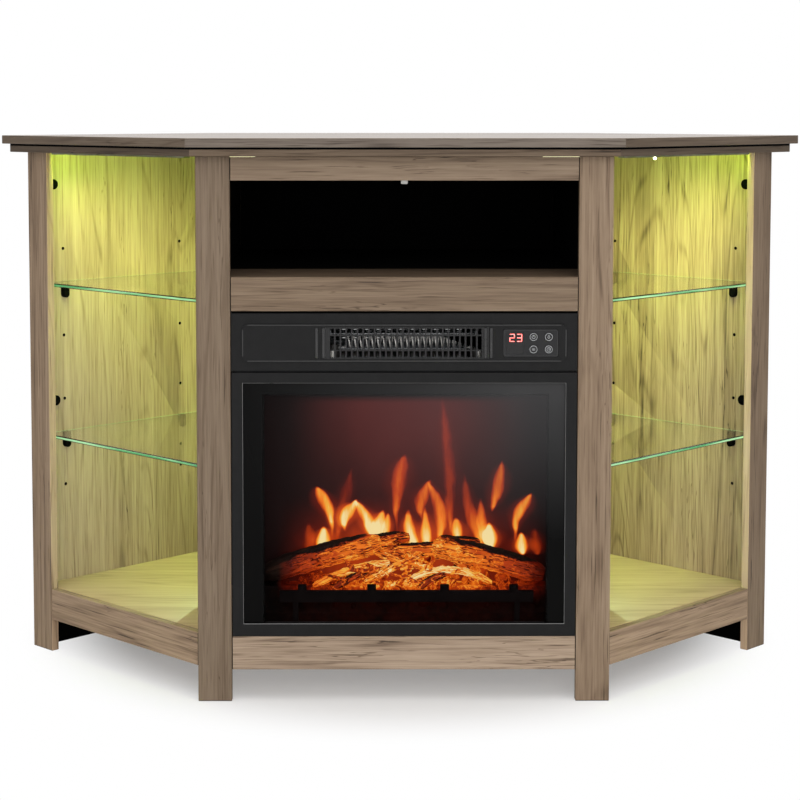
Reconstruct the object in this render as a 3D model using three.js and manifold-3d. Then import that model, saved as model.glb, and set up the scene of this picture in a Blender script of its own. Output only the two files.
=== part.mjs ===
// A corner fireplace stand for a television, in millimetres, +Z up, front towards -Y.
// Two stacked top boards lie on a carcass of 12 mm boards with a straight centre and two bays
// whose fronts run back at 45 degrees. The centre holds an electric fire below an open media
// compartment. Each bay holds two glass shelves on plug-in supports and a light bar at its top.
// Plan points are worked out with Y = 0 at the front posts' faces, and the whole stand is then
// moved so that the origin lies on the floor under the middle of its box.

import * as THREE from 'three';
import { mergeVertices } from 'three/addons/utils/BufferGeometryUtils.js';
import Module from 'manifold-3d';

const wasm = await Module();
wasm.setup();

// Clearances and cutting
const fit = 0.3; // between separate pieces that lie against each other
const overrun = 2; // how far a cutting tool runs past the face that it cuts

// Carcass
const boardThickness = 12;
const postWidth = 45;
const centreOpeningWidth = 459; // between the front posts
const angledOpeningWidth = 330; // between a front post and an outer post, along the angled front
const angledSetback = 5; // the angled front meets the front post this far behind its face
const rearCornerReach = 32; // the rear corner stands this far outside the divider
const railHeight = 45;
const topRailHeight = 32;
const railFloorGap = 43; // under the bottom rail
const angledRailLift = 4; // the angled rails and the bottom board stand this much higher
const fireOpeningHeight = 436;
const mediaOpeningHeight = 127;
const topFrontOverhang = 36;
const topRearOverhang = 12;
const subTopFrontOverhang = 25;
const subTopRearOverhang = 8;

// Rear panel
const rearFloorGap = 30;
const rearWindowSideGap = 51; // between the divider and the service opening behind the fire
const rearWindowTopGap = 15; // under the media shelf
const rearWindowSill = 30; // above the bottom board

// Glass shelves and their supports
const glassThickness = 5;
const glassClearance = 1.5; // to the boards round it
const supportHoleDiameter = 5;
const supportHoleDepth = 9;
const supportHolePitch = 64;
const upperHoleDrop = 206.5; // middle hole of the upper three, below the sub-top
const lowerHoleRise = 207.5; // middle hole of the lower three, above the bay's floor
const frontHoleInset = 40; // column's distance behind the post's back face
const rearHoleInset = 75; // column's distance in front of the panel's rear end
const dividerHoleInset = 108;
const supportWidth = 10;
const supportReach = 8.5; // how far a support stands out of its board
const supportRise = 11.2; // from the hole's centre to the flat seat under the glass
const supportDrop = 3; // from the hole's centre down to the centre of the round end
const supportPinDepth = 8;

// Bay lights and the receiver of their remote control
const lightBarWidth = 10;
const lightBarHeight = 3;
const lightBarEndGap = 12; // from a bar's end to the post beside it
const lightBarSetback = 1; // behind the angled front
const receiverWidth = 9;
const receiverDepth = 8;
const receiverHeight = 20;
const receiverDrop = 5; // how far it shows below the top rail

// Fire front
const fireSideGap = 0.9; // beside the fire's front, to each post
const fireTopGap = 3.3; // over the fire's front, to the middle rail
const fasciaHeight = 76;
const splitGap = 2.4; // line between window frame and fascia
const frameLip = 4; // in front of the glass
const windowGlassThickness = 4;
const windowSideBorder = 15.2;
const windowTopBorder = 14;
const windowBottomBorder = 17;
const windowRebate = 8; // how far the glass runs under the lip
const padSideGap = 14.6; // beside the fascia's raised panel
const padTopGap = 14.5;
const padSill = 12.5; // above the fascia's lower edge
const padProud = 3;
const padCorner = 7;
const grilleCentre = 2; // X of the outlet's middle
const grilleSlotPitch = 7.5;
const grilleSlotWidth = 5.2;
const grilleMargin = 5.25; // from the slots' ends to the raised panel's edge
const grilleControlGap = 18; // between the outlet and the control panel
const grilleEndRib = 9; // solid end beside the last slot
const grilleRim = 2;
const grilleThickness = 3;
const grilleRecess = 1; // behind the raised panel's face
const crossBarHeight = 1.8;
const crossBarThickness = 1.6;
const crossBarSpacing = 20;

// Control panel
const controlWidth = 72.8;
const controlSideGap = 10.8; // to the raised panel's right edge
const controlMargin = 6.35; // to the raised panel's upper and lower edges
const controlThickness = 2.5;
const controlCorner = 4;
const displayWidth = 22.5;
const displayMargin = 3.65; // to the panel's upper and lower edges
const displayInset = 4.6; // from the panel's left edge
const displayDepth = 0.8;
const buttonDiameter = 11;
const buttonSpacingX = 20.1;
const buttonSpacingZ = 16.4;
const buttonInset = 12.8; // from the panel's right edge to the second column's centres
const buttonProud = 1.2;
const buttonCapLength = 5;
const buttonStemDiameter = 6;
const buttonStemLength = 5;
const buttonEdge = 0.6;

// Fire housing
const sheetThickness = 1.5;
const housingSideInset = 6.6; // behind the fire front's side edges
const housingTopGap = 6; // below the fascia's top edge
const housingWindowInset = 16; // from the housing's side to its front windows
const housingWindowSill = 12;
const partitionBelowSplit = 8; // heater floor's height relative to the fascia's lower edge
const ventCount = 11;
const ventWidth = 6;
const ventMargin = 14; // above and below the vents in the heater bay
const ventPitch = 16;

// Heater
const coilDiameter = 18;
const coilWire = 2;
const coilWireSides = 5;
const coilTurns = 21;
const coilStepsPerTurn = 8;
const coilEndGap = 20.75; // between the outlet's end slot and the even turns
const coilLead = 6; // run in which the last turn eases out into its straight lead
const coilGap = 6.6; // behind the housing's front wall
const coilClearance = 19.3; // under the coil, above the heater floor
const terminalWidth = 11;
const terminalDepth = 11;
const terminalHeight = 24;
const terminalChamfer = 2;

// Blower
const wheelRoom = 9; // over and under the wheel in the heater bay
const bladeDepth = 7;
const wheelLength = 200;
const bladeCount = 18;
const bladeThickness = 1.2;
const wheelDiscThickness = 1.6;
const blowerGap = 35; // between coil and wheel
const blowerPlate = 2;
const blowerPlateDepth = 50;
const blowerMotorDiameter = 38;
const blowerMotorLength = 34;
const spindleDiameter = 5;

// Fire bed, from front to back
const grateSideGap = 25; // between the bar's end and the bed's
const grateCentre = 4;
const grateBarHeight = 16;
const grateBarThickness = 6;
const grateFloorGap = 34; // under the bar, above the housing floor
const grateGap = 13.6; // behind the housing's front wall
const grateLugWidth = 12;
const grateLugRise = 8;
const grateLugShares = [-0.41, -0.137, 0.15, 0.422]; // places along the bar, from its middle
const grateLegWidth = 8;
const grateLegInset = 22;
const bedSideGap = 24.5; // to the housing's side walls
const bedDepth = 46;
const bedFrontHeight = 18;
const bedHeight = 50;
const bedShelfShare = 0.62; // share of the bed's depth that is flat
const logPileSideGap = 4; // between the pile's ends and the bed's
const logPileDepth = 40;
const logPileHeight = 76;
const screenThickness = 2;
const screenGap = 2.4; // behind the ember bed
const rotorFrontGap = 3; // between the screen and the turning flags
const rotorRearGap = 9.4; // between the flags and the housing's rear wall
const rotorHeight = 84; // shaft above the housing floor
const rotorFlagHeight = 26;
const rotorFlagWidth = 17;
const rotorFlagThickness = 0.8;
const rotorFlagCount = 17;
const rotorFlagTurn = 2.4; // radians from one flag to the next
const rotorMotorDiameter = 46;
const rotorMotorLength = 26;
const ledBoardSideGap = 40.5; // to the housing's side walls
const ledBoardDepth = 18;
const ledBoardThickness = 1.6;
const ledDiameter = 5;
const ledHeight = 3;
const ledCount = 9;

// Mains inlet
const inletInset = 60.5; // its centre from the housing's right wall
const inletFloorGap = 50; // its centre above the housing floor
const inletBore = 7;
const inletNeck = 12;
const inletFlange = 22;
const inletFlangeThickness = 3;
const inletReach = 12;

// Levels, from the floor up
const bottomRailTop = railFloorGap + railHeight;
const bayFloor = bottomRailTop + angledRailLift;
const midRailBottom = bottomRailTop + fireOpeningHeight;
const mediaFloor = midRailBottom + railHeight;
const topRailBottom = mediaFloor + mediaOpeningHeight;
const carcassTop = topRailBottom + topRailHeight;
const subTopTop = carcassTop + boardThickness;
const standTop = subTopTop + boardThickness;

// Plan positions
const diagonal = Math.SQRT1_2;
const postInner = centreOpeningWidth / 2;
const postOuter = postInner + postWidth;
const dividerInner = postInner + (postWidth - boardThickness) / 2;
const dividerOuter = dividerInner + boardThickness;
const angledReach = angledOpeningWidth + postWidth; // along the angled front

// X - Y on a line parallel to the angled front, and X + Y on one parallel to the bay's side panel
const angledLine = (back) => postOuter - angledSetback - back / diagonal;
const panelLine = (inside) => postOuter + angledSetback + (angledReach - inside) / diagonal;

const bodyDepth = panelLine(0) - (dividerOuter + rearCornerReach); // the rear panel's back
const rearInner = bodyDepth - boardThickness;
const panelLength = (rearInner - angledSetback) / diagonal - angledReach; // inner face, from the post
const upperHoleHeight = carcassTop - upperHoleDrop;
const lowerHoleHeight = bayFloor + lowerHoleRise;
const backOfFront = boardThickness + fit; // where boards behind the front frame start

// Fire levels
const fireBottom = bottomRailTop + fit;
const fasciaTop = midRailBottom - fireTopGap;
const fasciaBottom = fasciaTop - fasciaHeight;
const splitBottom = fasciaBottom - splitGap;
const housingBottom = bayFloor + fit;
const housingTop = fasciaTop - housingTopGap;
const fireFloor = housingBottom + sheetThickness;
const partitionTop = fasciaBottom + partitionBelowSplit;
const partitionBottom = partitionTop - sheetThickness;
const heaterBayHeight = housingTop - partitionTop;
const wheelDiameter = heaterBayHeight - 2 * wheelRoom;

// Fire depths, from the front back
const frontDepth = frameLip + windowGlassThickness + 2 * fit; // window frame and fascia alike
const housingFront = frontDepth + fit;
const wallBack = housingFront + sheetThickness;
const grateSetback = wallBack + grateGap;
const bedFront = grateSetback + grateBarThickness + 2 * fit;
const bedBack = bedFront + bedDepth;
const screenSetback = bedBack + screenGap;
const rotorSetback = screenSetback + screenThickness + rotorFrontGap + rotorFlagHeight;
const housingBack = rotorSetback + rotorFlagHeight + rotorRearGap + sheetThickness;
const coilSetback = wallBack + coilGap + coilDiameter / 2;
const blowerSetback = coilSetback + coilDiameter / 2 + blowerGap + wheelDiameter / 2;

// Fire widths
const fireWidth = centreOpeningWidth - 2 * fireSideGap;
const housingHalfWidth = fireWidth / 2 - housingSideInset;
const housingInside = housingHalfWidth - sheetThickness;
const bedHalfWidth = housingInside - bedSideGap;
const grateWidth = 2 * (bedHalfWidth - grateSideGap);
const logPileWidth = 2 * (bedHalfWidth - logPileSideGap);
const ledBoardWidth = 2 * (housingInside - ledBoardSideGap);

// Finishes
const finish = (color, roughness, metalness = 0) =>
  new THREE.MeshStandardMaterial({ color, roughness, metalness });
const finishes = {
  oak: finish(0x8d7b68, 0.6),
  glass: finish(0xcfe0d2, 0.05),
  blackTrim: finish(0x16161a, 0.35),
  blackSteel: finish(0x1b1b1e, 0.5, 0.4),
  darkGlass: finish(0x2a1a1a, 0.06),
  heaterWire: finish(0x9a9690, 0.35, 0.9),
  ceramic: finish(0xe8e4da, 0.4),
  rubber: finish(0x111111, 0.7),
  lamp: finish(0xe9ea8c, 0.5),
  logs: finish(0x3a2a20, 0.9),
  embers: finish(0xb0401c, 0.8),
  iron: finish(0x131313, 0.6, 0.3),
  screen: finish(0x5a3030, 0.5),
  silver: finish(0xc0c2c4, 0.25, 0.9),
  circuit: finish(0x1e4a2c, 0.5),
  motor: finish(0x8a8c90, 0.4, 0.8),
  key: finish(0x2a2c30, 0.35),
  pale: finish(0xc8c8c4, 0.45),
};

const stand = new THREE.Group();
stand.position.y = -(bodyDepth + topRearOverhang - topFrontOverhang) / 2;

function place(name, geometry, material, parent = stand) {
  const piece = new THREE.Mesh(geometry, material);
  piece.name = name;
  parent.add(piece);
  return piece;
}

const sides = [
  { name: 'left', sign: -1 },
  { name: 'right', sign: 1 },
];

// Solids

const span = (from, to) => [Math.min(from, to), Math.max(from, to)];
const around = (middle, size) => [middle - size / 2, middle + size / 2];

function box([x0, x1], [y0, y1], [z0, z1]) {
  const geometry = new THREE.BoxGeometry(x1 - x0, y1 - y0, z1 - z0);
  return geometry.translate((x0 + x1) / 2, (y0 + y1) / 2, (z0 + z1) / 2);
}

// Upright board with the given plan outline
function prism(outline, [z0, z1]) {
  const shape = new THREE.Shape(outline.map(([x, y]) => new THREE.Vector2(x, y)));
  return new THREE.ExtrudeGeometry(shape, { depth: z1 - z0, bevelEnabled: false }).translate(0, 0, z0);
}

// Plate standing across Y, from a shape drawn in X and Z
function plate(shape, [y0, y1], curveSegments = 4) {
  const options = { depth: y1 - y0, bevelEnabled: false, curveSegments };
  return new THREE.ExtrudeGeometry(shape, options).rotateX(Math.PI / 2).translate(0, y1, 0);
}

function roundedRectangle([x0, x1], [z0, z1], radius) {
  const shape = new THREE.Shape();
  shape.moveTo(x0 + radius, z0);
  shape.lineTo(x1 - radius, z0);
  shape.absarc(x1 - radius, z0 + radius, radius, -Math.PI / 2, 0);
  shape.lineTo(x1, z1 - radius);
  shape.absarc(x1 - radius, z1 - radius, radius, 0, Math.PI / 2);
  shape.lineTo(x0 + radius, z1);
  shape.absarc(x0 + radius, z1 - radius, radius, Math.PI / 2, Math.PI);
  shape.lineTo(x0, z0 + radius);
  shape.absarc(x0 + radius, z0 + radius, radius, Math.PI, Math.PI * 1.5);
  return shape;
}

function rodAlongX(diameter, [x0, x1], y, z, segments = 16) {
  const geometry = new THREE.CylinderGeometry(diameter / 2, diameter / 2, x1 - x0, segments);
  return geometry.rotateZ(Math.PI / 2).translate((x0 + x1) / 2, y, z);
}

function rodAlongY(diameter, x, [y0, y1], z, segments = 16) {
  const geometry = new THREE.CylinderGeometry(diameter / 2, diameter / 2, y1 - y0, segments);
  return geometry.translate(0, (y0 + y1) / 2, 0).translate(x, 0, z);
}

// Round pole between two points, with a radius at each end
function pole(from, to, fromRadius, toRadius, segments) {
  const run = new THREE.Vector3().subVectors(to, from);
  const geometry = new THREE.CylinderGeometry(toRadius, fromRadius, run.length(), segments);
  const turn = new THREE.Quaternion().setFromUnitVectors(new THREE.Vector3(0, 1, 0), run.normalize());
  const middle = new THREE.Vector3().addVectors(from, to).multiplyScalar(0.5);
  return geometry.applyQuaternion(turn).translate(middle.x, middle.y, middle.z);
}

function toSolid(geometry) {
  const bare = geometry.clone();
  bare.deleteAttribute('normal');
  bare.deleteAttribute('uv');
  const merged = mergeVertices(bare);
  return new wasm.Manifold(
    new wasm.Mesh({
      numProp: 3,
      vertProperties: new Float32Array(merged.attributes.position.array),
      triVerts: new Uint32Array(merged.index.array),
    }),
  );
}

function toGeometry(solid) {
  const mesh = solid.getMesh();
  const geometry = new THREE.BufferGeometry();
  geometry.setAttribute('position', new THREE.BufferAttribute(mesh.vertProperties, 3));
  geometry.setIndex(new THREE.BufferAttribute(mesh.triVerts, 1));
  geometry.computeVertexNormals();
  return geometry;
}

function cut(base, tools) {
  return toGeometry(tools.reduce((solid, tool) => solid.subtract(toSolid(tool)), toSolid(base)));
}

function join(parts) {
  const [first, ...others] = parts;
  return toGeometry(others.reduce((solid, part) => solid.add(toSolid(part)), toSolid(first)));
}

// Plan outlines

// Point on a bay's plan, by its distance along the angled front and its distance behind it
function bayPoint(sign, along, back) {
  const x = postOuter + (along - back) * diagonal;
  const y = angledSetback + (along + back) * diagonal;
  return [sign * x, y];
}

// Six-sided outline that keeps the given distances outside the carcass, or inside if negative
function footprint(front, rear) {
  const angled = angledLine(-front);
  const panel = panelLine(-rear);
  const frontY = -front;
  const rearY = bodyDepth + rear;
  const right = [
    [angled + frontY, frontY],
    [(panel + angled) / 2, (panel - angled) / 2],
    [panel - rearY, rearY],
  ];
  const left = right.map(([x, y]) => [-x, y]).reverse();
  return [...right, ...left];
}

// Carcass boards

function topBoards() {
  const upper = footprint(topFrontOverhang, topRearOverhang);
  const lower = footprint(subTopFrontOverhang, subTopRearOverhang);
  place('top_board', prism(upper, [subTopTop, standTop]), finishes.oak);
  place('sub_top_board', prism(lower, [carcassTop, subTopTop]), finishes.oak);
}

function posts() {
  for (const { name, sign } of sides) {
    const front = box(span(sign * postInner, sign * postOuter), [0, boardThickness], [0, carcassTop]);
    const outer = [
      bayPoint(sign, angledOpeningWidth, 0),
      bayPoint(sign, angledReach, 0),
      bayPoint(sign, angledReach, boardThickness),
      bayPoint(sign, angledOpeningWidth, boardThickness),
    ];
    place(`front_post_${name}`, front, finishes.oak);
    place(`outer_post_${name}`, prism(outer, [0, carcassTop]), finishes.oak);
  }
}

function rails() {
  const across = around(0, centreOpeningWidth - 2 * fit);
  const through = [0, boardThickness];
  place('top_rail', box(across, through, [topRailBottom, carcassTop]), finishes.oak);
  place('mid_rail', box(across, through, [midRailBottom, mediaFloor]), finishes.oak);
  place('bottom_rail', box(across, through, [railFloorGap, bottomRailTop]), finishes.oak);
  const postSide = postOuter + fit;
  for (const { name, sign } of sides) {
    const outline = [
      [sign * postSide, postSide - angledLine(0)],
      bayPoint(sign, angledOpeningWidth - fit, 0),
      bayPoint(sign, angledOpeningWidth - fit, boardThickness),
      [sign * postSide, postSide - angledLine(boardThickness)],
    ];
    place(`angled_rail_${name}`, prism(outline, [bayFloor - railHeight, bayFloor]), finishes.oak);
  }
}

function levelBoards() {
  const floorOutline = footprint(-backOfFront, -backOfFront);
  place('bottom_board', prism(floorOutline, [bayFloor - boardThickness, bayFloor]), finishes.oak);
  const across = around(0, 2 * (dividerInner - fit));
  const deep = [backOfFront, rearInner - fit];
  place('media_shelf', box(across, deep, [mediaFloor - boardThickness, mediaFloor]), finishes.oak);
}

// Hole heights for the shelf supports, in two groups of three
const holeHeights = [upperHoleHeight, lowerHoleHeight].flatMap((middle) =>
  [-1, 0, 1].map((step) => middle + step * supportHolePitch),
);

// Places of the support columns on one side: a point on the board's face and the way out of it
function supportColumns(sign) {
  const inside = angledReach - boardThickness;
  const frontAt = bayPoint(sign, inside, boardThickness + frontHoleInset);
  const rearAt = bayPoint(sign, inside, boardThickness + panelLength - rearHoleInset);
  const dividerAt = [sign * dividerOuter, boardThickness + dividerHoleInset];
  return [
    { name: 'front', at: frontAt, turn: sign * Math.PI * 0.75 },
    { name: 'rear', at: rearAt, turn: sign * Math.PI * 0.75 },
    { name: 'divider', at: dividerAt, turn: (-sign * Math.PI) / 2 },
  ];
}

// Blind holes of one column, drilled from the board's face
function columnHoles({ at: [x, y], turn }) {
  return holeHeights.map((height) =>
    rodAlongY(supportHoleDiameter, 0, [-supportHoleDepth, overrun], 0, 8)
      .rotateZ(turn)
      .translate(x, y, height),
  );
}

function sideBoards() {
  for (const { name, sign } of sides) {
    const [frontColumn, rearColumn, dividerColumn] = supportColumns(sign);
    const rearFace = rearInner - fit;
    const panel = prism(
      [
        bayPoint(sign, angledReach - boardThickness, backOfFront),
        bayPoint(sign, angledReach, backOfFront),
        [sign * (panelLine(0) - rearFace), rearFace],
        [sign * (panelLine(boardThickness) - rearFace), rearFace],
      ],
      [0, carcassTop],
    );
    const panelHoles = [...columnHoles(frontColumn), ...columnHoles(rearColumn)];
    place(`back_panel_${name}`, cut(panel, panelHoles), finishes.oak);
    const divider = box(
      span(sign * dividerInner, sign * dividerOuter),
      [backOfFront, rearFace],
      [bayFloor, carcassTop],
    );
    place(`divider_${name}`, cut(divider, columnHoles(dividerColumn)), finishes.oak);
  }
}

function rearPanel() {
  const inner = panelLine(0) - rearInner;
  const outer = panelLine(0) - bodyDepth;
  const outline = [
    [-inner, rearInner],
    [inner, rearInner],
    [outer, bodyDepth],
    [-outer, bodyDepth],
  ];
  const through = [rearInner - overrun, bodyDepth + overrun];
  const windowUp = [bayFloor + rearWindowSill, mediaFloor - boardThickness - rearWindowTopGap];
  const window = box(around(0, 2 * (dividerInner - rearWindowSideGap)), through, windowUp);
  place('rear_panel', cut(prism(outline, [rearFloorGap, carcassTop]), [window]), finishes.oak);
}

// Glass shelves and supports

function glassOutline(sign) {
  const front = boardThickness + glassClearance;
  const angled = angledLine(front);
  const panel = panelLine(boardThickness) - glassClearance / diagonal;
  const rear = rearInner - glassClearance;
  const divider = dividerOuter + glassClearance;
  return [
    [divider, front],
    [angled + front, front],
    [(panel + angled) / 2, (panel - angled) / 2],
    [panel - rear, rear],
    [divider, rear],
  ].map(([x, y]) => [sign * x, y]);
}

// One support: a pin for the hole and a head that is round below and flat under the glass
function supportGeometry() {
  const radius = supportWidth / 2;
  const outline = new THREE.Shape();
  outline.moveTo(radius, -supportDrop);
  outline.lineTo(radius, supportRise);
  outline.lineTo(-radius, supportRise);
  outline.lineTo(-radius, -supportDrop);
  outline.absarc(0, -supportDrop, radius, Math.PI, 2 * Math.PI);
  const head = plate(outline, [fit, supportReach], 8);
  const pin = rodAlongY(supportHoleDiameter - 2 * fit, 0, [-supportPinDepth, fit + overrun], 0, 8);
  return join([head, pin]);
}

function shelves() {
  const levels = [
    { level: 'upper', height: upperHoleHeight },
    { level: 'lower', height: lowerHoleHeight },
  ];
  for (const { name, sign } of sides) {
    for (const { level, height } of levels) {
      const under = height + supportRise + fit;
      const pane = prism(glassOutline(sign), [under, under + glassThickness]);
      place(`glass_shelf_${level}_${name}`, pane, finishes.glass);
      for (const column of supportColumns(sign)) {
        const supportName = `support_${level}_${name}_${column.name}`;
        const support = place(supportName, supportGeometry(), finishes.rubber);
        support.position.set(...column.at, height);
        support.rotation.z = column.turn;
      }
    }
  }
}

// Lights and receiver

function lights() {
  for (const { name, sign } of sides) {
    const start = lightBarEndGap;
    const end = angledOpeningWidth - lightBarEndGap;
    const outline = [
      bayPoint(sign, start + boardThickness, lightBarSetback),
      bayPoint(sign, end, lightBarSetback),
      bayPoint(sign, end, lightBarSetback + lightBarWidth),
      bayPoint(sign, start + boardThickness, lightBarSetback + lightBarWidth),
    ];
    place(`light_bar_${name}`, prism(outline, [carcassTop - lightBarHeight, carcassTop]), finishes.lamp);
  }
  const low = topRailBottom - receiverDrop;
  const deep = [backOfFront, backOfFront + receiverDepth];
  place('light_receiver', box(around(0, receiverWidth), deep, [low, low + receiverHeight]), finishes.pale);
}

// Fire front

const paneAcross = around(0, fireWidth - 2 * windowSideBorder);
const paneUp = [fireBottom + windowBottomBorder, splitBottom - windowTopBorder];
const grow = ([low, high], by) => [low - by, high + by];

function windowFrame() {
  const body = box(around(0, fireWidth), [0, frontDepth], [fireBottom, splitBottom]);
  const opening = box(paneAcross, [-overrun, frontDepth + overrun], paneUp);
  const seatAcross = grow(paneAcross, windowRebate);
  const seatUp = grow(paneUp, windowRebate);
  const seat = box(seatAcross, [frameLip, frontDepth + overrun], seatUp);
  place('window_frame', cut(body, [opening, seat]), finishes.blackTrim);
  const pane = box(
    grow(seatAcross, -fit),
    [frameLip + fit, frameLip + fit + windowGlassThickness],
    grow(seatUp, -fit),
  );
  place('window_glass', pane, finishes.darkGlass);
}

const padAcross = around(0, fireWidth - 2 * padSideGap);
const padUp = [fasciaBottom + padSill, fasciaTop - padTopGap];
const padMiddle = (padUp[0] + padUp[1]) / 2;
const controlRight = padAcross[1] - controlSideGap;
const controlAcross = [controlRight - controlWidth, controlRight];
const controlUp = grow(padUp, -controlMargin);
const grilleRoom = 2 * (controlAcross[0] - grilleControlGap - grilleEndRib - grilleCentre);
const grilleSlotCount = Math.floor(grilleRoom / grilleSlotPitch);
const grilleField = grilleSlotCount * grilleSlotPitch; // width that the slots take
const grilleAcross = around(grilleCentre, grilleField + 2 * grilleEndRib);
const slotUp = grow(padUp, -grilleMargin);
const grilleUp = grow(slotUp, grilleRim);
const coilLength = grilleField - 2 * coilEndGap;
const buttonColumns = [
  controlAcross[1] - buttonInset - buttonSpacingX,
  controlAcross[1] - buttonInset,
];
const buttonRows = around((controlUp[0] + controlUp[1]) / 2, buttonSpacingZ);
const buttonPlaces = buttonRows.flatMap((z) => buttonColumns.map((x) => [x, z]));

function buttonHoles() {
  return buttonPlaces.map(([x, z]) =>
    rodAlongY(buttonDiameter + 2 * fit, x, [-overrun, frontDepth + overrun], z, 16),
  );
}

function fascia() {
  const body = box(around(0, fireWidth), [padProud, frontDepth], [fasciaBottom, fasciaTop]);
  const pad = plate(
    roundedRectangle(padAcross, padUp, padCorner),
    [0, padProud + overrun],
  );
  const outlet = box(grilleAcross, [-overrun, frontDepth + overrun], grilleUp);
  const pocket = plate(
    roundedRectangle(grow(controlAcross, fit), grow(controlUp, fit), controlCorner + fit),
    [-overrun, controlThickness + fit],
  );
  place('fascia', cut(join([body, pad]), [outlet, pocket, ...buttonHoles()]), finishes.blackTrim);
}

function outletGrille() {
  const face = grilleRecess;
  const back = face + grilleThickness;
  const body = box(grow(grilleAcross, -fit), [face, back], grow(grilleUp, -fit));
  const slots = Array.from({ length: grilleSlotCount }, (_, index) => {
    const middle = grilleCentre + (index - (grilleSlotCount - 1) / 2) * grilleSlotPitch;
    const through = [face - overrun, back + overrun];
    return box(around(middle, grilleSlotWidth), through, slotUp);
  });
  const barAcross = around(grilleCentre, grilleField);
  const crossBars = around(padMiddle, crossBarSpacing).map((z) =>
    box(barAcross, [back - crossBarThickness, back], around(z, crossBarHeight)),
  );
  place('outlet_grille', join([cut(body, slots), ...crossBars]), finishes.blackTrim);
}

function controls() {
  const panel = plate(roundedRectangle(controlAcross, controlUp, controlCorner), [0, controlThickness]);
  const displayLeft = controlAcross[0] + displayInset;
  const display = box(
    [displayLeft, displayLeft + displayWidth],
    [-overrun, displayDepth],
    grow(controlUp, -displayMargin),
  );
  place('control_panel', cut(panel, [display, ...buttonHoles()]), finishes.key);
  const names = ['heat', 'timer', 'power', 'flame'];
  buttonPlaces.forEach(([x, z], index) => {
    const cap = place(`button_${names[index]}`, buttonGeometry(), finishes.key);
    cap.position.set(x, -buttonProud, z);
  });
}

// A push button: its cap's face at Y = 0, its stem behind it
function buttonGeometry() {
  const radius = buttonDiameter / 2;
  const stemEnd = buttonCapLength + buttonStemLength;
  const profile = [
    [0, 0],
    [radius - buttonEdge, 0],
    [radius, buttonEdge],
    [radius, buttonCapLength],
    [buttonStemDiameter / 2, buttonCapLength],
    [buttonStemDiameter / 2, stemEnd],
    [0, stemEnd],
  ];
  return new THREE.LatheGeometry(profile.map(([r, y]) => new THREE.Vector2(r, y)), 16);
}

const inletX = housingInside - inletInset;
const inletHeight = fireFloor + inletFloorGap;

// Fire housing: a closed steel box with two windows in its front, split by the heater floor
function housing() {
  const across = around(0, 2 * housingHalfWidth);
  const inside = around(0, 2 * housingInside);
  const deep = [wallBack, housingBack - sheetThickness];
  const body = box(across, [housingFront, housingBack], [housingBottom, housingTop]);
  const firebox = box(inside, deep, [fireFloor, partitionBottom]);
  const heaterBay = box(inside, deep, [partitionTop, housingTop - sheetThickness]);
  const windowInside = around(0, 2 * (housingHalfWidth - housingWindowInset));
  const frontWall = [housingFront - overrun, wallBack + overrun];
  const lowerWindow = box(windowInside, frontWall, grow([fireFloor, partitionBottom], -housingWindowSill));
  const upperWindow = box(windowInside, frontWall, [partitionTop, housingTop - sheetThickness]);
  const rearWall = [housingBack - sheetThickness - overrun, housingBack + overrun];
  const ventUp = grow([partitionTop, housingTop], -ventMargin);
  const vents = Array.from({ length: ventCount }, (_, index) => {
    const x = (index - (ventCount - 1) / 2) * ventPitch;
    return box(around(x, ventWidth), rearWall, ventUp);
  });
  const inletHole = rodAlongY(inletNeck + 2 * fit, inletX, rearWall, inletHeight, 16);
  const tools = [firebox, heaterBay, lowerWindow, upperWindow, inletHole, ...vents];
  place('fire_housing', cut(body, tools), finishes.blackSteel);
}

// Mains inlet bush, its flange on the outside of the housing's rear wall
function cordInlet() {
  const flangeStart = housingBack + fit;
  const start = housingBack - sheetThickness - inletFlangeThickness;
  const end = flangeStart + inletReach;
  const outline = [
    [inletBore / 2, start],
    [inletNeck / 2, start],
    [inletNeck / 2, flangeStart],
    [inletFlange / 2, flangeStart],
    [inletFlange / 2, flangeStart + inletFlangeThickness],
    [inletNeck / 2, flangeStart + inletFlangeThickness],
    [inletNeck / 2, end],
    [inletBore / 2, end],
    [inletBore / 2, start],
  ];
  const bush = new THREE.LatheGeometry(outline.map(([r, y]) => new THREE.Vector2(r, y)), 16);
  place('cord_inlet', bush, finishes.rubber).position.set(inletX, 0, inletHeight);
}

// Heater

const coilHeight = partitionTop + coilClearance + coilDiameter / 2;
const coilMiddle = grilleCentre;
const coilRadius = (coilDiameter - coilWire) / 2;

// Centre line of the element: turns at an even pitch, the last eighth of a turn at each end easing
// into a straight lead that leaves from the coil's underside
function coilPath() {
  const easedTurns = 1 / coilStepsPerTurn;
  const evenTurns = coilTurns - 2 * easedTurns;
  const steps = evenTurns * coilStepsPerTurn;
  const points = [];
  const at = (x, turns) => {
    const angle = (turns + easedTurns) * 2 * Math.PI - Math.PI / 2;
    const y = coilSetback + coilRadius * Math.cos(angle);
    return new THREE.Vector3(x, y, coilHeight + coilRadius * Math.sin(angle));
  };
  const start = coilMiddle - coilLength / 2;
  for (let step = 0; step <= steps; step += 1) {
    points.push(at(start + (coilLength * step) / steps, step / coilStepsPerTurn));
  }
  const easingShares = [0.45, 0.8, 1];
  const easing = easingShares.map((share) => [share * coilLead, share * (2 - share) * easedTurns]);
  const head = easing.map(([run, turn]) => at(start - run, -turn)).reverse();
  const tail = easing.map(([run, turn]) => at(start + coilLength + run, evenTurns + turn));
  const first = head[0].clone().setX(head[0].x - coilWire);
  const last = tail[tail.length - 1].clone().setX(tail[tail.length - 1].x + coilWire);
  return [first, ...head, ...points, ...tail, last];
}

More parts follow.
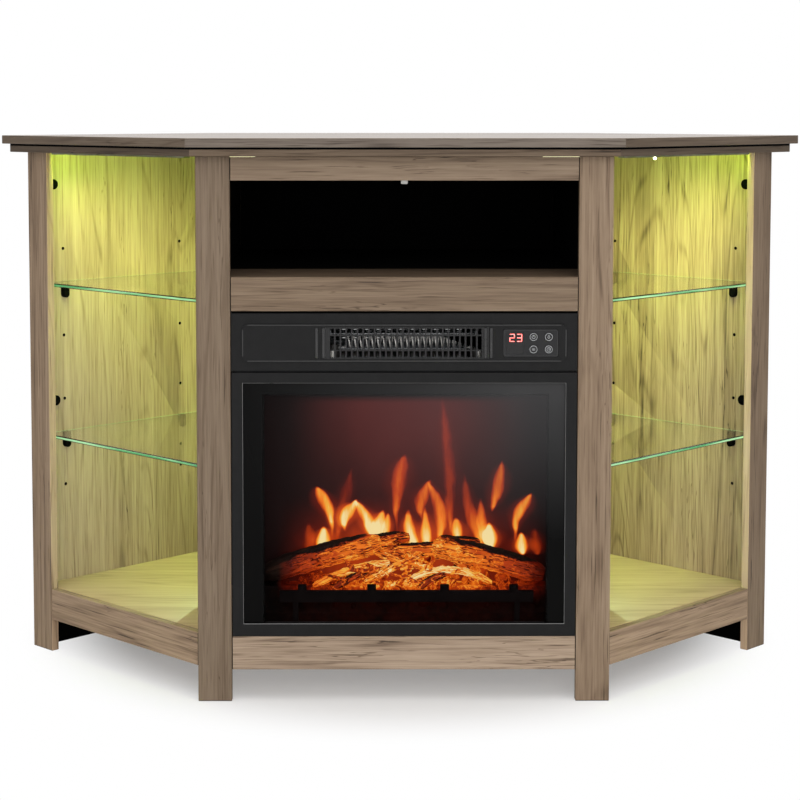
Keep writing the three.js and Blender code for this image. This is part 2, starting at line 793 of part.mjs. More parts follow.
// Round wire along a line of points, as one closed tube with flat ends square to its first and last run
function wire(points, diameter, segments) {
  const tangents = points.map((point, index) => {
    const before = points[Math.max(index - 1, 0)];
    const after = points[Math.min(index + 1, points.length - 1)];
    return new THREE.Vector3().subVectors(after, before).normalize();
  });
  tangents[1] = tangents[0].clone().lerp(tangents[1], 0.5).normalize();
  const positions = [];
  const normal = new THREE.Vector3(0, 1, 0);
  points.forEach((point, index) => {
    const tangent = tangents[index];
    normal.addScaledVector(tangent, -normal.dot(tangent)).normalize();
    const binormal = new THREE.Vector3().crossVectors(tangent, normal);
    for (let corner = 0; corner < segments; corner += 1) {
      const angle = (corner / segments) * 2 * Math.PI;
      const rim = point.clone();
      rim.addScaledVector(normal, (Math.cos(angle) * diameter) / 2);
      rim.addScaledVector(binormal, (Math.sin(angle) * diameter) / 2);
      positions.push(...rim.toArray());
    }
  });
  const triangles = [];
  for (let ring = 0; ring < points.length - 1; ring += 1) {
    for (let corner = 0; corner < segments; corner += 1) {
      const here = ring * segments + corner;
      const beside = ring * segments + ((corner + 1) % segments);
      triangles.push(here, beside, beside + segments, here, beside + segments, here + segments);
    }
  }
  const lastRing = (points.length - 1) * segments;
  for (let corner = 1; corner < segments - 1; corner += 1) {
    triangles.push(0, corner + 1, corner);
    triangles.push(lastRing, lastRing + corner, lastRing + corner + 1);
  }
  const geometry = new THREE.BufferGeometry();
  geometry.setAttribute('position', new THREE.Float32BufferAttribute(positions, 3));
  geometry.setIndex(triangles);
  geometry.computeVertexNormals();
  return geometry;
}

// Smallest clear distance between stretches of the wire that lie more than half a turn apart
function leastGap(points, diameter, stepsPerTurn) {
  const apart = stepsPerTurn / 2 + 1;
  let least = Infinity;
  for (let first = 0; first < points.length; first += 1) {
    for (let second = first + apart; second < points.length; second += 1) {
      least = Math.min(least, points[first].distanceTo(points[second]));
    }
  }
  return least - diameter;
}

function heater() {
  const path = coilPath();
  place('heater_coil', wire(path, coilWire, coilWireSides), finishes.heaterWire);
  const gap = leastGap(path, coilWire, coilStepsPerTurn);
  console.log(`heater_coil: least gap to itself ${gap.toFixed(2)} mm`);
  const reach = Math.abs(path[0].x - coilMiddle) + fit;
  for (const { name, sign } of sides) {
    const across = span(coilMiddle + sign * reach, coilMiddle + sign * (reach + terminalWidth));
    const deep = around(coilSetback, terminalDepth);
    const outline = [
      [across[0], deep[0] + terminalChamfer],
      [across[0] + terminalChamfer, deep[0]],
      [across[1] - terminalChamfer, deep[0]],
      [across[1], deep[0] + terminalChamfer],
      [across[1], deep[1] - terminalChamfer],
      [across[1] - terminalChamfer, deep[1]],
      [across[0] + terminalChamfer, deep[1]],
      [across[0], deep[1] - terminalChamfer],
    ];
    const low = partitionTop + fit;
    place(`coil_terminal_${name}`, prism(outline, [low, low + terminalHeight]), finishes.ceramic);
  }
}

// Blower: a cross-flow wheel between the two end plates of a bracket that also carries its motor

const blowerHeight = (partitionTop + housingTop) / 2;

function blower() {
  const half = wheelLength / 2;
  const reach = half + spindleDiameter;
  const discs = [-half + wheelDiscThickness, 0, half - wheelDiscThickness].map((x) =>
    rodAlongX(wheelDiameter, around(x, wheelDiscThickness), blowerSetback, blowerHeight, 20),
  );
  const bladeAcross = around(0, wheelLength - 2 * wheelDiscThickness);
  const bladeTip = (wheelDiameter - bladeThickness) / 2;
  const bladeReach = [bladeTip - bladeDepth, bladeTip];
  const blades = Array.from({ length: bladeCount }, (_, index) =>
    box(bladeAcross, around(0, bladeThickness), bladeReach)
      .rotateX(((index + 0.5) / bladeCount) * 2 * Math.PI)
      .translate(0, blowerSetback, blowerHeight),
  );
  const spindle = rodAlongX(spindleDiameter, [-reach, reach], blowerSetback, blowerHeight, 10);
  place('blower_wheel', join([spindle, ...discs, ...blades]), finishes.silver);

  const inner = reach + fit;
  const deep = around(blowerSetback, blowerPlateDepth);
  const low = partitionTop + fit;
  const base = box(around(0, 2 * (inner + blowerPlate)), deep, [low, low + blowerPlate]);
  const endPlates = sides.map(({ sign }) =>
    box(span(sign * inner, sign * (inner + blowerPlate)), deep, [low, blowerHeight + wheelDiameter / 4]),
  );
  const motorAcross = [inner + blowerPlate / 2, inner + blowerPlate + blowerMotorLength];
  const can = rodAlongX(blowerMotorDiameter, motorAcross, blowerSetback, blowerHeight, 20);
  place('blower_motor', join([base, ...endPlates, can]), finishes.motor);
}

// Fire bed

const bedTop = fireFloor + fit + bedHeight;

function emberBed() {
  const shelfFront = bedBack - bedDepth * bedShelfShare;
  const low = fireFloor + fit;
  const outline = new THREE.Shape(
    [
      [bedFront, low],
      [bedBack, low],
      [bedBack, bedTop],
      [shelfFront, bedTop],
      [bedFront, low + bedFrontHeight],
    ].map(([y, z]) => new THREE.Vector2(y, z)),
  );
  const options = { depth: 2 * bedHalfWidth, bevelEnabled: false };
  const bed = new THREE.ExtrudeGeometry(outline, options).rotateX(Math.PI / 2).rotateZ(Math.PI / 2);
  place('ember_bed', bed.translate(-bedHalfWidth, 0, 0), finishes.embers);
}

// Ends of each log as shares of the pile's width, depth and height, then its two radii over the height
const logShares = [
  { from: [-0.49, 0.45, 0.2], to: [-0.08, 0.55, 0.74], radii: [0.19, 0.24] },
  { from: [0.1, 0.55, 0.7], to: [0.495, 0.45, 0.18], radii: [0.24, 0.19] },
  { from: [-0.26, 0.85, 0.6], to: [0.03, 0.8, 0.84], radii: [0.16, 0.15] },
  { from: [-0.35, 0.2, 0.08], to: [-0.05, 0.3, 0.5], radii: [0.14, 0.16] },
  { from: [0.04, 0.3, 0.48], to: [0.37, 0.2, 0.06], radii: [0.16, 0.13] },
  { from: [-0.14, 0.15, 0.2], to: [0.17, 0.65, 0.7], radii: [0.14, 0.13] },
  { from: [0.21, 0.15, 0.26], to: [-0.04, 0.7, 0.74], radii: [0.13, 0.12] },
];

function logSet() {
  const low = bedTop + fit;
  const front = bedBack - bedDepth * bedShelfShare;
  const at = ([x, y, z]) =>
    new THREE.Vector3(x * logPileWidth, front + y * logPileDepth * bedShelfShare, low + z * logPileHeight);
  const logs = logShares.map(({ from, to, radii: [first, second] }) =>
    pole(at(from), at(to), first * logPileHeight, second * logPileHeight, 10),
  );
  const wide = around(0, 2 * logPileWidth);
  const under = box(wide, [-bodyDepth, bodyDepth], [low - logPileHeight, low]);
  const tall = [low - logPileHeight, low + 2 * logPileHeight];
  const behind = box(wide, [screenSetback - fit, bodyDepth], tall);
  place('log_set', cut(join(logs), [under, behind]), finishes.logs);
}

function fireGrate() {
  const deep = [grateSetback, grateSetback + grateBarThickness];
  const barLow = fireFloor + grateFloorGap;
  const barTop = barLow + grateBarHeight;
  const bar = box(around(grateCentre, grateWidth), deep, [barLow, barTop]);
  const lugs = grateLugShares.map((share) =>
    box(around(grateCentre + share * grateWidth, grateLugWidth), deep, [barLow, barTop + grateLugRise]),
  );
  const legReach = grateWidth / 2 - grateLegInset;
  const legs = sides.map(({ sign }) =>
    box(around(grateCentre + sign * legReach, grateLegWidth), deep, [fireFloor + fit, barTop]),
  );
  place('fire_grate', join([bar, ...lugs, ...legs]), finishes.iron);
}

function flameScreen() {
  const across = around(0, 2 * (housingInside - fit));
  const deep = [screenSetback, screenSetback + screenThickness];
  place('flame_screen', box(across, deep, [fireFloor + fit, partitionBottom - fit]), finishes.screen);
}

// Flickering light: a turning spindle with mirror flags behind the screen, lit from the board below it
function flicker() {
  const height = fireFloor + rotorHeight;
  const wall = housingInside - fit;
  const motorFace = wall - rotorMotorLength;
  const spindle = rodAlongX(spindleDiameter, [-wall, motorFace - fit], rotorSetback, height, 10);
  const flagSpan = motorFace + wall - 2 * rotorFlagWidth;
  const flagUp = [-rotorFlagHeight / 2, rotorFlagHeight];
  const flags = Array.from({ length: rotorFlagCount }, (_, index) => {
    const x = -wall + rotorFlagWidth + (flagSpan * index) / (rotorFlagCount - 1);
    return box(around(0, rotorFlagWidth), around(0, rotorFlagThickness), flagUp)
      .rotateX(index * rotorFlagTurn)
      .translate(x, rotorSetback, height);
  });
  place('flame_rotor', join([spindle, ...flags]), finishes.silver);
  const motorCan = rodAlongX(rotorMotorDiameter, [motorFace, wall], rotorSetback, height, 20);
  place('rotor_motor', motorCan, finishes.motor);

  const low = fireFloor + fit;
  const boardDeep = around(rotorSetback, ledBoardDepth);
  const board = box(around(0, ledBoardWidth), boardDeep, [low, low + ledBoardThickness]);
  const leds = Array.from({ length: ledCount }, (_, index) => {
    const x = (index / (ledCount - 1) - 0.5) * (ledBoardWidth - ledBoardDepth);
    return new THREE.CylinderGeometry(ledDiameter / 2, ledDiameter / 2, ledHeight + ledBoardThickness, 8)
      .rotateX(Math.PI / 2)
      .translate(x, rotorSetback, low + (ledHeight + ledBoardThickness) / 2 + fit);
  });
  place('flame_light_board', join([board, ...leds]), finishes.circuit);
}

topBoards();
posts();
rails();
levelBoards();
sideBoards();
rearPanel();
shelves();
lights();
windowFrame();
fascia();
outletGrille();
controls();
housing();
cordInlet();
heater();
blower();
emberBed();
logSet();
fireGrate();
flameScreen();
flicker();

export default stand;
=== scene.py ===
"""Dresses a corner fireplace stand: finishes, fine pieces, fire, soft light and camera.

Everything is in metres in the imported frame: +Z up, the front towards -Y, the origin on the floor.
"""

import logging
import math
import random
from collections.abc import Callable, Sequence
from dataclasses import dataclass
from enum import Enum
from typing import Any, Union

import bpy
from mathutils import Euler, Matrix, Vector


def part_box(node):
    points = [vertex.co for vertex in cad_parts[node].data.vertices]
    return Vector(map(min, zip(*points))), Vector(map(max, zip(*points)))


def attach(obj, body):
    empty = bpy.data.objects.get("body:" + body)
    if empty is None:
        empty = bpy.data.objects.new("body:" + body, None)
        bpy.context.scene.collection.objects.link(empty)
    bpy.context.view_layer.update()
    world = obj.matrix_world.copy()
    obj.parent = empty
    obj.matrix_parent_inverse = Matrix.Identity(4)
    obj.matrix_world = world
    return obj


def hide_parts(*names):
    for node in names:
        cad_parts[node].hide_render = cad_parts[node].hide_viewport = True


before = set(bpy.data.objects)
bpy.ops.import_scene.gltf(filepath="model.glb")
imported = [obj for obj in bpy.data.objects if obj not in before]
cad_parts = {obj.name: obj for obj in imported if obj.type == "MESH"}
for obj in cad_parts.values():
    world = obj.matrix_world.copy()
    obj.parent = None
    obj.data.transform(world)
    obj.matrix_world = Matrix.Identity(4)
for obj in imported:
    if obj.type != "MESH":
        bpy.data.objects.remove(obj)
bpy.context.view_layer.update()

MM = 0.001
log = logging.getLogger("fireplace_stand")

Colour = tuple[float, float, float]
Number = Union[float, "Value"]
Material = bpy.types.Material
Piece = bpy.types.Object
Test = Callable[[Vector, Vector], bool]  # on a face's middle and normal
Painted = tuple[Material, Test]
Cut = tuple[int, float]  # the number of an axis and a place on it


def _operator(operation: str, swapped: bool = False) -> Callable[..., "Value"]:
    """Makes the method that stands for one kind of arithmetic.

    Args:
        operation: the Math node's operation.
        swapped: whether the other operand comes first.

    Returns:
        The method.
    """

    def method(self: "Value", *others: Number) -> "Value":
        """The node's result."""
        return self.maths(operation, *((*others, self) if swapped else (self, *others)))

    return method


class Value:
    """A socket of a material's nodes, with shader maths written as Python arithmetic."""

    def __init__(self, recipe: "Recipe", socket: bpy.types.NodeSocket) -> None:
        """Wraps an output socket of the recipe's nodes."""
        self.recipe, self.socket = recipe, socket

    def maths(self, operation: str, *operands: Number, clamp: bool = False) -> "Value":
        """Adds a Math node, its result kept from 0 to 1 if clamp is set."""
        settings = {"operation": operation, "use_clamp": clamp}
        return self.recipe.node("ShaderNodeMath", settings, dict(enumerate(operands)))

    __add__ = _operator("ADD")
    __radd__ = _operator("ADD", swapped=True)
    __sub__ = _operator("SUBTRACT")
    __rsub__ = _operator("SUBTRACT", swapped=True)
    __mul__ = _operator("MULTIPLY")
    __rmul__ = _operator("MULTIPLY", swapped=True)
    __truediv__ = _operator("DIVIDE")
    __pow__ = _operator("POWER")
    __abs__ = _operator("ABSOLUTE")
    fraction = _operator("FRACT")
    sine = _operator("SINE")
    most = _operator("MAXIMUM")

    def clamped(self) -> "Value":
        """The value kept from 0 to 1."""
        return self.maths("ADD", self, 0.0, clamp=True)

    def ramp(self, low: float, high: float) -> "Value":
        """A smooth step from 0 at low to 1 at high, which may be the lesser of the two."""
        inputs = {0: self, 1: low, 2: high, 3: 0.0, 4: 1.0}
        return self.recipe.node("ShaderNodeMapRange", {"interpolation_type": "SMOOTHSTEP"}, inputs)


class Recipe:
    """The nodes of one material, or of the world."""

    def __init__(self, name: str, world: bool = False) -> None:
        """Starts an empty material or world.

        Args:
            name: its name.
            world: whether it is a world.
        """
        self.owner = (bpy.data.worlds if world else bpy.data.materials).new(name)
        self.owner.use_nodes = True
        self.nodes, self.links = self.owner.node_tree.nodes, self.owner.node_tree.links
        self.output = "ShaderNodeOutputWorld" if world else "ShaderNodeOutputMaterial"
        self.nodes.clear()

    def node(
        self,
        kind: str,
        settings: dict[str, Any] | None = None,
        inputs: dict[int | str, Any] | None = None,
        output: int | str = 0,
    ) -> Value:
        """Adds a node.

        Args:
            kind: the node's type.
            settings: its properties, set before its inputs.
            inputs: the values or links of its sockets, by name or number.
            output: the name or number of the socket to hand back.

        Returns:
            The output socket.
        """
        made = self.nodes.new(kind)
        for key, value in (settings or {}).items():
            setattr(made, key, value)
        for key, value in (inputs or {}).items():
            socket = made.inputs[key]
            if isinstance(value, Value):
                self.links.new(value.socket, socket)
            elif isinstance(value, tuple) and socket.type == "RGBA":
                socket.default_value = (*value, 1.0)
            else:
                socket.default_value = value
        return Value(self, made.outputs[output])

    def coordinates(self, shift: Sequence[float] = (0, 0, 0), turn: float = 0.0) -> Value:
        """Object coordinates, moved and then turned about Z.

        Args:
            shift: how far they are moved.
            turn: their turn in radians.

        Returns:
            The coordinates.
        """
        place = self.node("ShaderNodeTexCoord", output="Object")
        inputs = {"Vector": place, "Location": tuple(shift), "Rotation": (0.0, 0.0, turn)}
        return self.node("ShaderNodeMapping", None, inputs)

    def stretched(self, vector: Value, scales: Sequence[float]) -> Value:
        """Coordinates multiplied by a scale along each axis."""
        settings = {"operation": "MULTIPLY"}
        return self.node("ShaderNodeVectorMath", settings, {0: vector, 1: tuple(scales)})

    def axis(self, vector: Value, number: int) -> Value:
        """One component of a vector: 0, 1 or 2 for X, Y or Z."""
        return self.node("ShaderNodeSeparateXYZ", None, {0: vector}, number)

    def noise(
        self, vector: Value, scale: float = 1.0, detail: float = 2.0, rough: float = 0.5
    ) -> Value:
        """Noise about 0.5, with detail finer layers of the strength rough."""
        inputs = {"Vector": vector, "Scale": scale, "Detail": detail, "Roughness": rough}
        return self.node("ShaderNodeTexNoise", None, inputs)

    def drawn_noise(
        self, vector: Value, scales: Sequence[float], detail: float = 2.0, rough: float = 0.5
    ) -> Value:
        """Noise with a scale of its own along each axis."""
        return self.noise(self.stretched(vector, scales), 1.0, detail, rough)

    def blend(self, share: Number, first: Colour | Value, second: Colour | Value) -> Value:
        """A mix of two colours, which is the second where share is 1."""
        settings = {"data_type": "RGBA"}
        return self.node("ShaderNodeMix", settings, {0: share, 6: first, 7: second}, 2)

    def stops(self, share: Value, *stops: tuple[float, Colour]) -> Value:
        """A colour ramp.

        Args:
            share: the place on the ramp.
            stops: each stop's place and colour.

        Returns:
            The colour.
        """
        colour = self.node("ShaderNodeValToRGB", None, {0: share})
        elements = colour.socket.node.color_ramp.elements
        while len(elements) < len(stops):
            elements.new(0.5)
        for element, (place, shade) in zip(elements, stops):
            element.position, element.color = place, (*shade, 1.0)
        return colour

    def bump(self, height: Value, distance: float, strength: float = 1.0) -> Value:
        """A normal from a height, where a height of 1 stands distance metres proud."""
        inputs = {"Height": height, "Distance": distance, "Strength": strength}
        return self.node("ShaderNodeBump", None, inputs)

    def principled(self, **inputs: Any) -> Value:
        """A Principled shader.

        Args:
            inputs: its sockets, named in lower case with underscores.

        Returns:
            The shader.
        """
        sockets = {
            key.replace("_", " ").title().replace("Ior", "IOR"): value
            for key, value in inputs.items()
        }
        return self.node("ShaderNodeBsdfPrincipled", None, sockets)

    def mixed(self, share: Number, first: Value, second: Value) -> Value:
        """A mix of two shaders, which is the second where share is 1."""
        return self.node("ShaderNodeMixShader", None, {0: share, 1: first, 2: second})

    def finished(self, shader: Value) -> Material | bpy.types.World:
        """Links the shader to the output and hands the material or world back."""
        self.links.new(shader.socket, self.nodes.new(self.output).inputs["Surface"])
        return self.owner

    def surface(self, **inputs: Any) -> Material:
        """Finishes the material with one Principled shader."""
        return self.finished(self.principled(**inputs))


class Grain(Enum):
    """The way that a board's grain runs, as scales across and along it."""

    SIDEWAYS = (0, 1, 1)
    UPWARDS = (1, 1, 0)

    def scales(self, across: float, along: float) -> tuple[float, ...]:
        """Scales of a pattern that is drawn out along the grain."""
        return tuple(across if crossing else along for crossing in self.value)


OAK_STOPS = (
    (0.02, (0.055, 0.036, 0.023)),
    (0.32, (0.18, 0.12, 0.077)),
    (0.55, (0.275, 0.193, 0.127)),
    (0.92, (0.41, 0.305, 0.213)),
)


@dataclass(frozen=True)
class Oak:
    """Greige oak laminate: growth rings, streaks, pores and fine splits along a board's grain."""

    name: str
    grain: Grain
    turn: float = 0.0
    shift: tuple[float, ...] = (0.0, 0.0, 0.0)
    tone: float = 1.0
    rings: float = 20.0
    contrast: float = 1.0
    flecks: float = 1.0
    staves: float = 0.0
    grey: float = 0.0
    coat: float = 0.0

    def material(self) -> Material:
        """The finish of one board, in staves if asked.

        Returns:
            The material.
        """
        recipe = Recipe(self.name)
        place = recipe.coordinates(self.shift, self.turn)

        def grained(across: float, along: float, detail: float = 2.0, rough: float = 0.5) -> Value:
            """Noise drawn out along the grain."""
            return recipe.drawn_noise(place, self.grain.scales(across, along), detail, rough)

        ring = (grained(9.0, 0.85, 1.5, 0.45) * (self.rings * math.tau)).sine()
        late_wood = (ring * 0.5 + 0.5) ** 9.0
        bands = grained(16.0, 0.35, 1.0)
        streaks = grained(105.0, 2.6, 4.0, 0.62)
        fibres = grained(400.0, 11.0, 3.0, 0.65)
        pores = grained(430.0, 13.0).ramp(0.58, 0.74)
        splits = abs(grained(75.0, 4.0, 3.0, 0.6) - 0.5).ramp(0.012, 0.002)
        patches = grained(26.0, 3.2, 1.0).ramp(0.5, 0.66)
        broken = grained(60.0, 6.0).ramp(0.36, 0.66)
        change = (
            (bands - 0.5) * 0.42
            + (streaks - 0.5) * 0.66
            + (fibres - 0.5) * 0.72
            - late_wood * broken * 0.24
            - pores * self.flecks * 0.36
            - splits * patches * self.flecks * 0.36
        )
        if self.staves:
            across = recipe.axis(place, 0) * self.staves
            stave = recipe.node("ShaderNodeCombineXYZ", None, {0: across - across.fraction()})
            change = change + (recipe.noise(stave, 0.73) - 0.5) * 1.3
        shades = [
            (share, tuple((c + (sum(shade) / 3 - c) * self.grey) * self.tone for c in shade))
            for share, shade in OAK_STOPS
        ]
        return recipe.surface(
            base_color=recipe.stops((change * self.contrast + 0.56).clamped(), *shades),
            roughness=(fibres - 0.5) * 0.22 + pores * 0.08 + 0.5,
            specular_ior_level=0.2,
            coat_weight=self.coat,
            coat_roughness=0.24,
            normal=recipe.bump(fibres * 0.5 + streaks * 0.35 - pores * 0.3, 0.3 * MM, 0.6),
        )


@dataclass(frozen=True)
class Plain:
    """A painted, moulded or metal surface with mottled colour, worn roughness and fine texture."""

    name: str
    colour: Colour
    second: Colour
    roughness: float = 0.5
    metallic: float = 0.0
    coat: float = 0.0
    speckle: float = 300.0
    texture: float = 0.03 * MM
    uneven: float = 0.12
    gloss: float = 0.5

    def material(self) -> Material:
        """Makes the finish.

        Returns:
            The material.
        """
        recipe = Recipe(self.name)
        place = recipe.coordinates()
        mottle = recipe.noise(place, self.speckle / 12, 3.0, 0.6)
        grit = recipe.noise(place, self.speckle * 4)
        share = ((mottle - 0.5) * 1.6 + (grit - 0.5) * 0.5 + 0.5).clamped()
        return recipe.surface(
            base_color=recipe.blend(share, self.colour, self.second),
            roughness=self.roughness + (mottle - 0.5) * self.uneven,
            metallic=self.metallic,
            specular_ior_level=self.gloss,
            coat_weight=self.coat,
            coat_roughness=0.08,
            normal=recipe.bump(grit, self.texture, 0.6),
        )


def shade_black(name: str) -> Material:
    """Dull black for what lies in the shade."""
    return Plain(name, (0.001, 0.001, 0.001), (0.002, 0.002, 0.002), 0.9, gloss=0.05).material()


def fitting_black(name: str) -> Material:
    """Black rubber or moulding of the small fittings."""
    dark, pale = (0.0008, 0.0008, 0.0008), (0.0025, 0.0025, 0.0025)
    return Plain(name, dark, pale, 0.8, gloss=0.04).material()


@dataclass(frozen=True)
class ClearGlass:
    """Tempered shelf glass that lets lamps through, faintly green."""

    name: str
    tint: Colour = (0.965, 1.0, 0.98)
    pale_tint: Colour = (0.98, 1.0, 0.99)
    shadow: Colour = (0.93, 0.98, 0.95)

    def material(self) -> Material:
        """The finish of the pane's faces.

        Returns:
            The material.
        """
        recipe = Recipe(self.name)
        smears = recipe.noise(recipe.coordinates(), 14.0, 4.0, 0.6)
        glass = recipe.principled(
            base_color=recipe.blend(smears.ramp(0.3, 0.8), self.tint, self.pale_tint),
            roughness=smears.ramp(0.45, 0.9) * 0.03,
            transmission_weight=1.0,
            ior=1.5,
        )
        clear = recipe.node("ShaderNodeBsdfTransparent", None, {0: self.shadow})
        lamp_ray = recipe.node("ShaderNodeLightPath", output="Is Shadow Ray")
        return recipe.finished(recipe.mixed(lamp_ray, glass, clear))


@dataclass(frozen=True)
class GlassEdge:
    """Polished glass edge, green because light runs far inside the pane; its glow is painted light.
    """

    name: str
    deep: Colour = (0.07, 0.29, 0.11)
    pale: Colour = (0.34, 0.62, 0.34)
    glow: float = 0.3

    def material(self) -> Material:
        """The finish of the pane's edges.

        Returns:
            The material.
        """
        recipe = Recipe(self.name)
        bands = recipe.drawn_noise(recipe.coordinates(), (9.0, 9.0, 260.0))
        colour = recipe.blend(bands.ramp(0.36, 0.64), self.deep, self.pale)
        # Painted light: the edge glows in its own colour.
        return recipe.surface(
            base_color=colour,
            roughness=0.16 + (bands - 0.5) * 0.1,
            emission_color=colour,
            emission_strength=self.glow,
        )


@dataclass(frozen=True)
class FireGlass:
    """Smoked glass: a printed border round its clear middle, and a painted sheen to the upper right
    that glows by emission in the clear part and pales the border.

    The sheen starts at the places sheen_left and sheen_foot and is full after sheen_width and
    sheen_height.
    """

    name: str
    low: Vector
    high: Vector
    sheen: float = 0.34
    soft: float = 3.0 * MM
    sheen_left: float = -249 * MM
    sheen_width: float = 396 * MM
    sheen_foot: float = 215 * MM
    sheen_height: float = 199 * MM

    def material(self) -> Material:
        """The finish of the window's pane.

        Returns:
            The material.
        """
        recipe = Recipe(self.name)
        place = recipe.coordinates()
        across, upright = recipe.axis(place, 0), recipe.axis(place, 2)
        middle, half = (self.low + self.high) / 2, (self.high - self.low) / 2
        outside = (abs(across - middle.x) - half.x).most(abs(upright - middle.z) - half.z)
        border = outside.ramp(-self.soft, self.soft)
        smears = recipe.noise(place, 9.0, 3.0)
        to_right = ((across - self.sheen_left) * (1 / self.sheen_width)).clamped() ** 1.6
        upwards = ((upright - self.sheen_foot) * (1 / self.sheen_height)).clamped() ** 1.2
        sheen = to_right * upwards * (smears * 0.3 + 0.85)
        # Painted sheen: the printed border is paler towards the upper right.
        printed = recipe.principled(
            base_color=recipe.blend(sheen, (0.001, 0.001, 0.001), (0.036, 0.036, 0.037)),
            roughness=smears * 0.1 + 0.2,
            specular_ior_level=0.06,
        )
        clear = recipe.node("ShaderNodeBsdfTransparent", None, {0: (0.93, 0.9, 0.9)})
        # Painted sheen: a grey glow by emission, mixed into the clear pane towards the upper right.
        painted_sheen_glow = recipe.principled(
            base_color=(0.0, 0.0, 0.0),
            roughness=0.6,
            specular_ior_level=0.0,
            emission_color=(0.095, 0.095, 0.097),
            emission_strength=1.0,
        )
        pane = recipe.mixed(sheen * self.sheen, clear, painted_sheen_glow)
        return recipe.finished(recipe.mixed(border, pane, printed))


@dataclass(frozen=True)
class Lamp:
    """A surface that gives off its own light, slightly uneven."""

    name: str
    colour: Colour
    strength: float
    mottling: float = 60.0

    def material(self) -> Material:
        """Makes the finish.

        Returns:
            The material.
        """
        recipe = Recipe(self.name)
        cloud = recipe.noise(recipe.coordinates(), self.mottling)
        paler = tuple(min(1.0, channel * 0.7 + 0.3) for channel in self.colour)
        return recipe.surface(
            base_color=self.colour,
            roughness=0.45,
            emission_color=recipe.blend(cloud.ramp(0.3, 0.7), self.colour, paler),
            emission_strength=self.strength,
        )


HEAT_STOPS = (
    (0.0, (0.0, 0.0, 0.0)),
    (0.16, (0.11, 0.006, 0.001)),
    (0.36, (0.52, 0.052, 0.004)),
    (0.58, (0.98, 0.23, 0.014)),
    (0.8, (1.0, 0.52, 0.06)),
    (1.0, (1.0, 0.86, 0.4)),
)


@dataclass(frozen=True)
class Flame:
    """One tongue of light on the flame screen, all in metres.

    Its middle line runs from (x, low) to (x + lean, high) and bows sideways by bow at half height.
    It is widest at the share swell of its height. Its warmth at the foot is heat, and it loses the
    share cooling of that towards its tip.
    """

    x: float
    low: float
    high: float
    width: float
    lean: float
    bow: float
    swell: float
    heat: float
    cooling: float


@dataclass(frozen=True)
class FlameLight:
    """The picture that the moving light throws on the diffusing screen."""

    name: str
    flames: tuple[Flame, ...]
    middle_x: float
    top: float = 402 * MM

    def material(self) -> Material:
        """The finish of the screen.

        Returns:
            The material.
        """
        recipe = Recipe(self.name)
        place = recipe.coordinates()
        across, upright = recipe.axis(place, 0), recipe.axis(place, 2)
        sway = recipe.drawn_noise(place, (34.0, 1.0, 16.0)) - 0.5
        shiver = recipe.drawn_noise(place, (95.0, 1.0, 48.0), 1.0) - 0.5
        flicker = recipe.drawn_noise(place, (150.0, 1.0, 26.0), 3.0, 0.6)
        x = across + sway * 11 * MM + shiver * 5 * MM
        heat: Number = 0.0
        for flame in self.flames:
            heat = self._tongue(flame, x, upright, flicker) + heat
        side = abs(across - self.middle_x)
        cloud = recipe.drawn_noise(place, (16.0, 1.0, 7.0), 3.0)
        low_down = upright.ramp(265 * MM, 200 * MM)
        embers = low_down * side.ramp(190 * MM, 80 * MM) * (cloud * 0.5 - 0.02)
        smoke = side.ramp(178 * MM, 30 * MM) * (cloud * 0.7 + 0.65)
        rising = upright.ramp(240 * MM, 400 * MM) * 0.75 + 0.25
        smoke = smoke * upright.ramp(self.top, self.top - 14 * MM) * rising
        glow = recipe.blend(smoke, (0.0015, 0.0004, 0.0003), (0.115, 0.015, 0.012))
        fire = recipe.stops((heat + embers).clamped(), *HEAT_STOPS)
        settings = {"data_type": "RGBA", "blend_type": "ADD"}
        return recipe.surface(
            base_color=recipe.blend(cloud, (0.004, 0.002, 0.002), (0.009, 0.004, 0.004)),
            roughness=0.7,
            specular_ior_level=0.1,
            emission_color=recipe.node("ShaderNodeMix", settings, {0: 1.0, 6: fire, 7: glow}, 2),
            emission_strength=1.0,
        )

    @staticmethod
    def _tongue(flame: Flame, x: Value, upright: Value, flicker: Value) -> Value:
        """Heat of one flame.

        Args:
            flame: its shape.
            x: the swaying place across the screen.
            upright: the height.
            flicker: fine streaks that break its edges.

        Returns:
            The heat that it adds.
        """
        rise = ((upright - flame.low) * (1 / (flame.high - flame.low))).clamped()
        bend = flame.lean + 4 * flame.bow
        line = (rise * (-4 * flame.bow) + bend) * rise + flame.x
        spread = math.log(0.5) / math.log(flame.swell)
        shape = ((rise**spread) * math.pi).sine().most(0.0)
        offset = (x - line) / (shape * (flame.width * 0.42) + 1.2 * MM)
        square = offset * offset
        core = (1 - square * 0.85).clamped()
        halo = (1 - square * 0.12).clamped() ** 2.5
        warmth = (1 - rise * flame.cooling) * flame.heat * (shape * 3).clamped()
        return (core * (flicker * 0.7 + 0.32) + halo * 0.24) * warmth


GLOW_MIDDLE = 14 * MM


def nearness(recipe: Recipe, place: Value, reach: float) -> Value:
    """How near a place is to the middle of the glow: 1 there, and 0 from reach outwards."""
    side = abs(recipe.axis(place, 0) - GLOW_MIDDLE) * (1 / reach)
    return (1 - side * side).clamped()


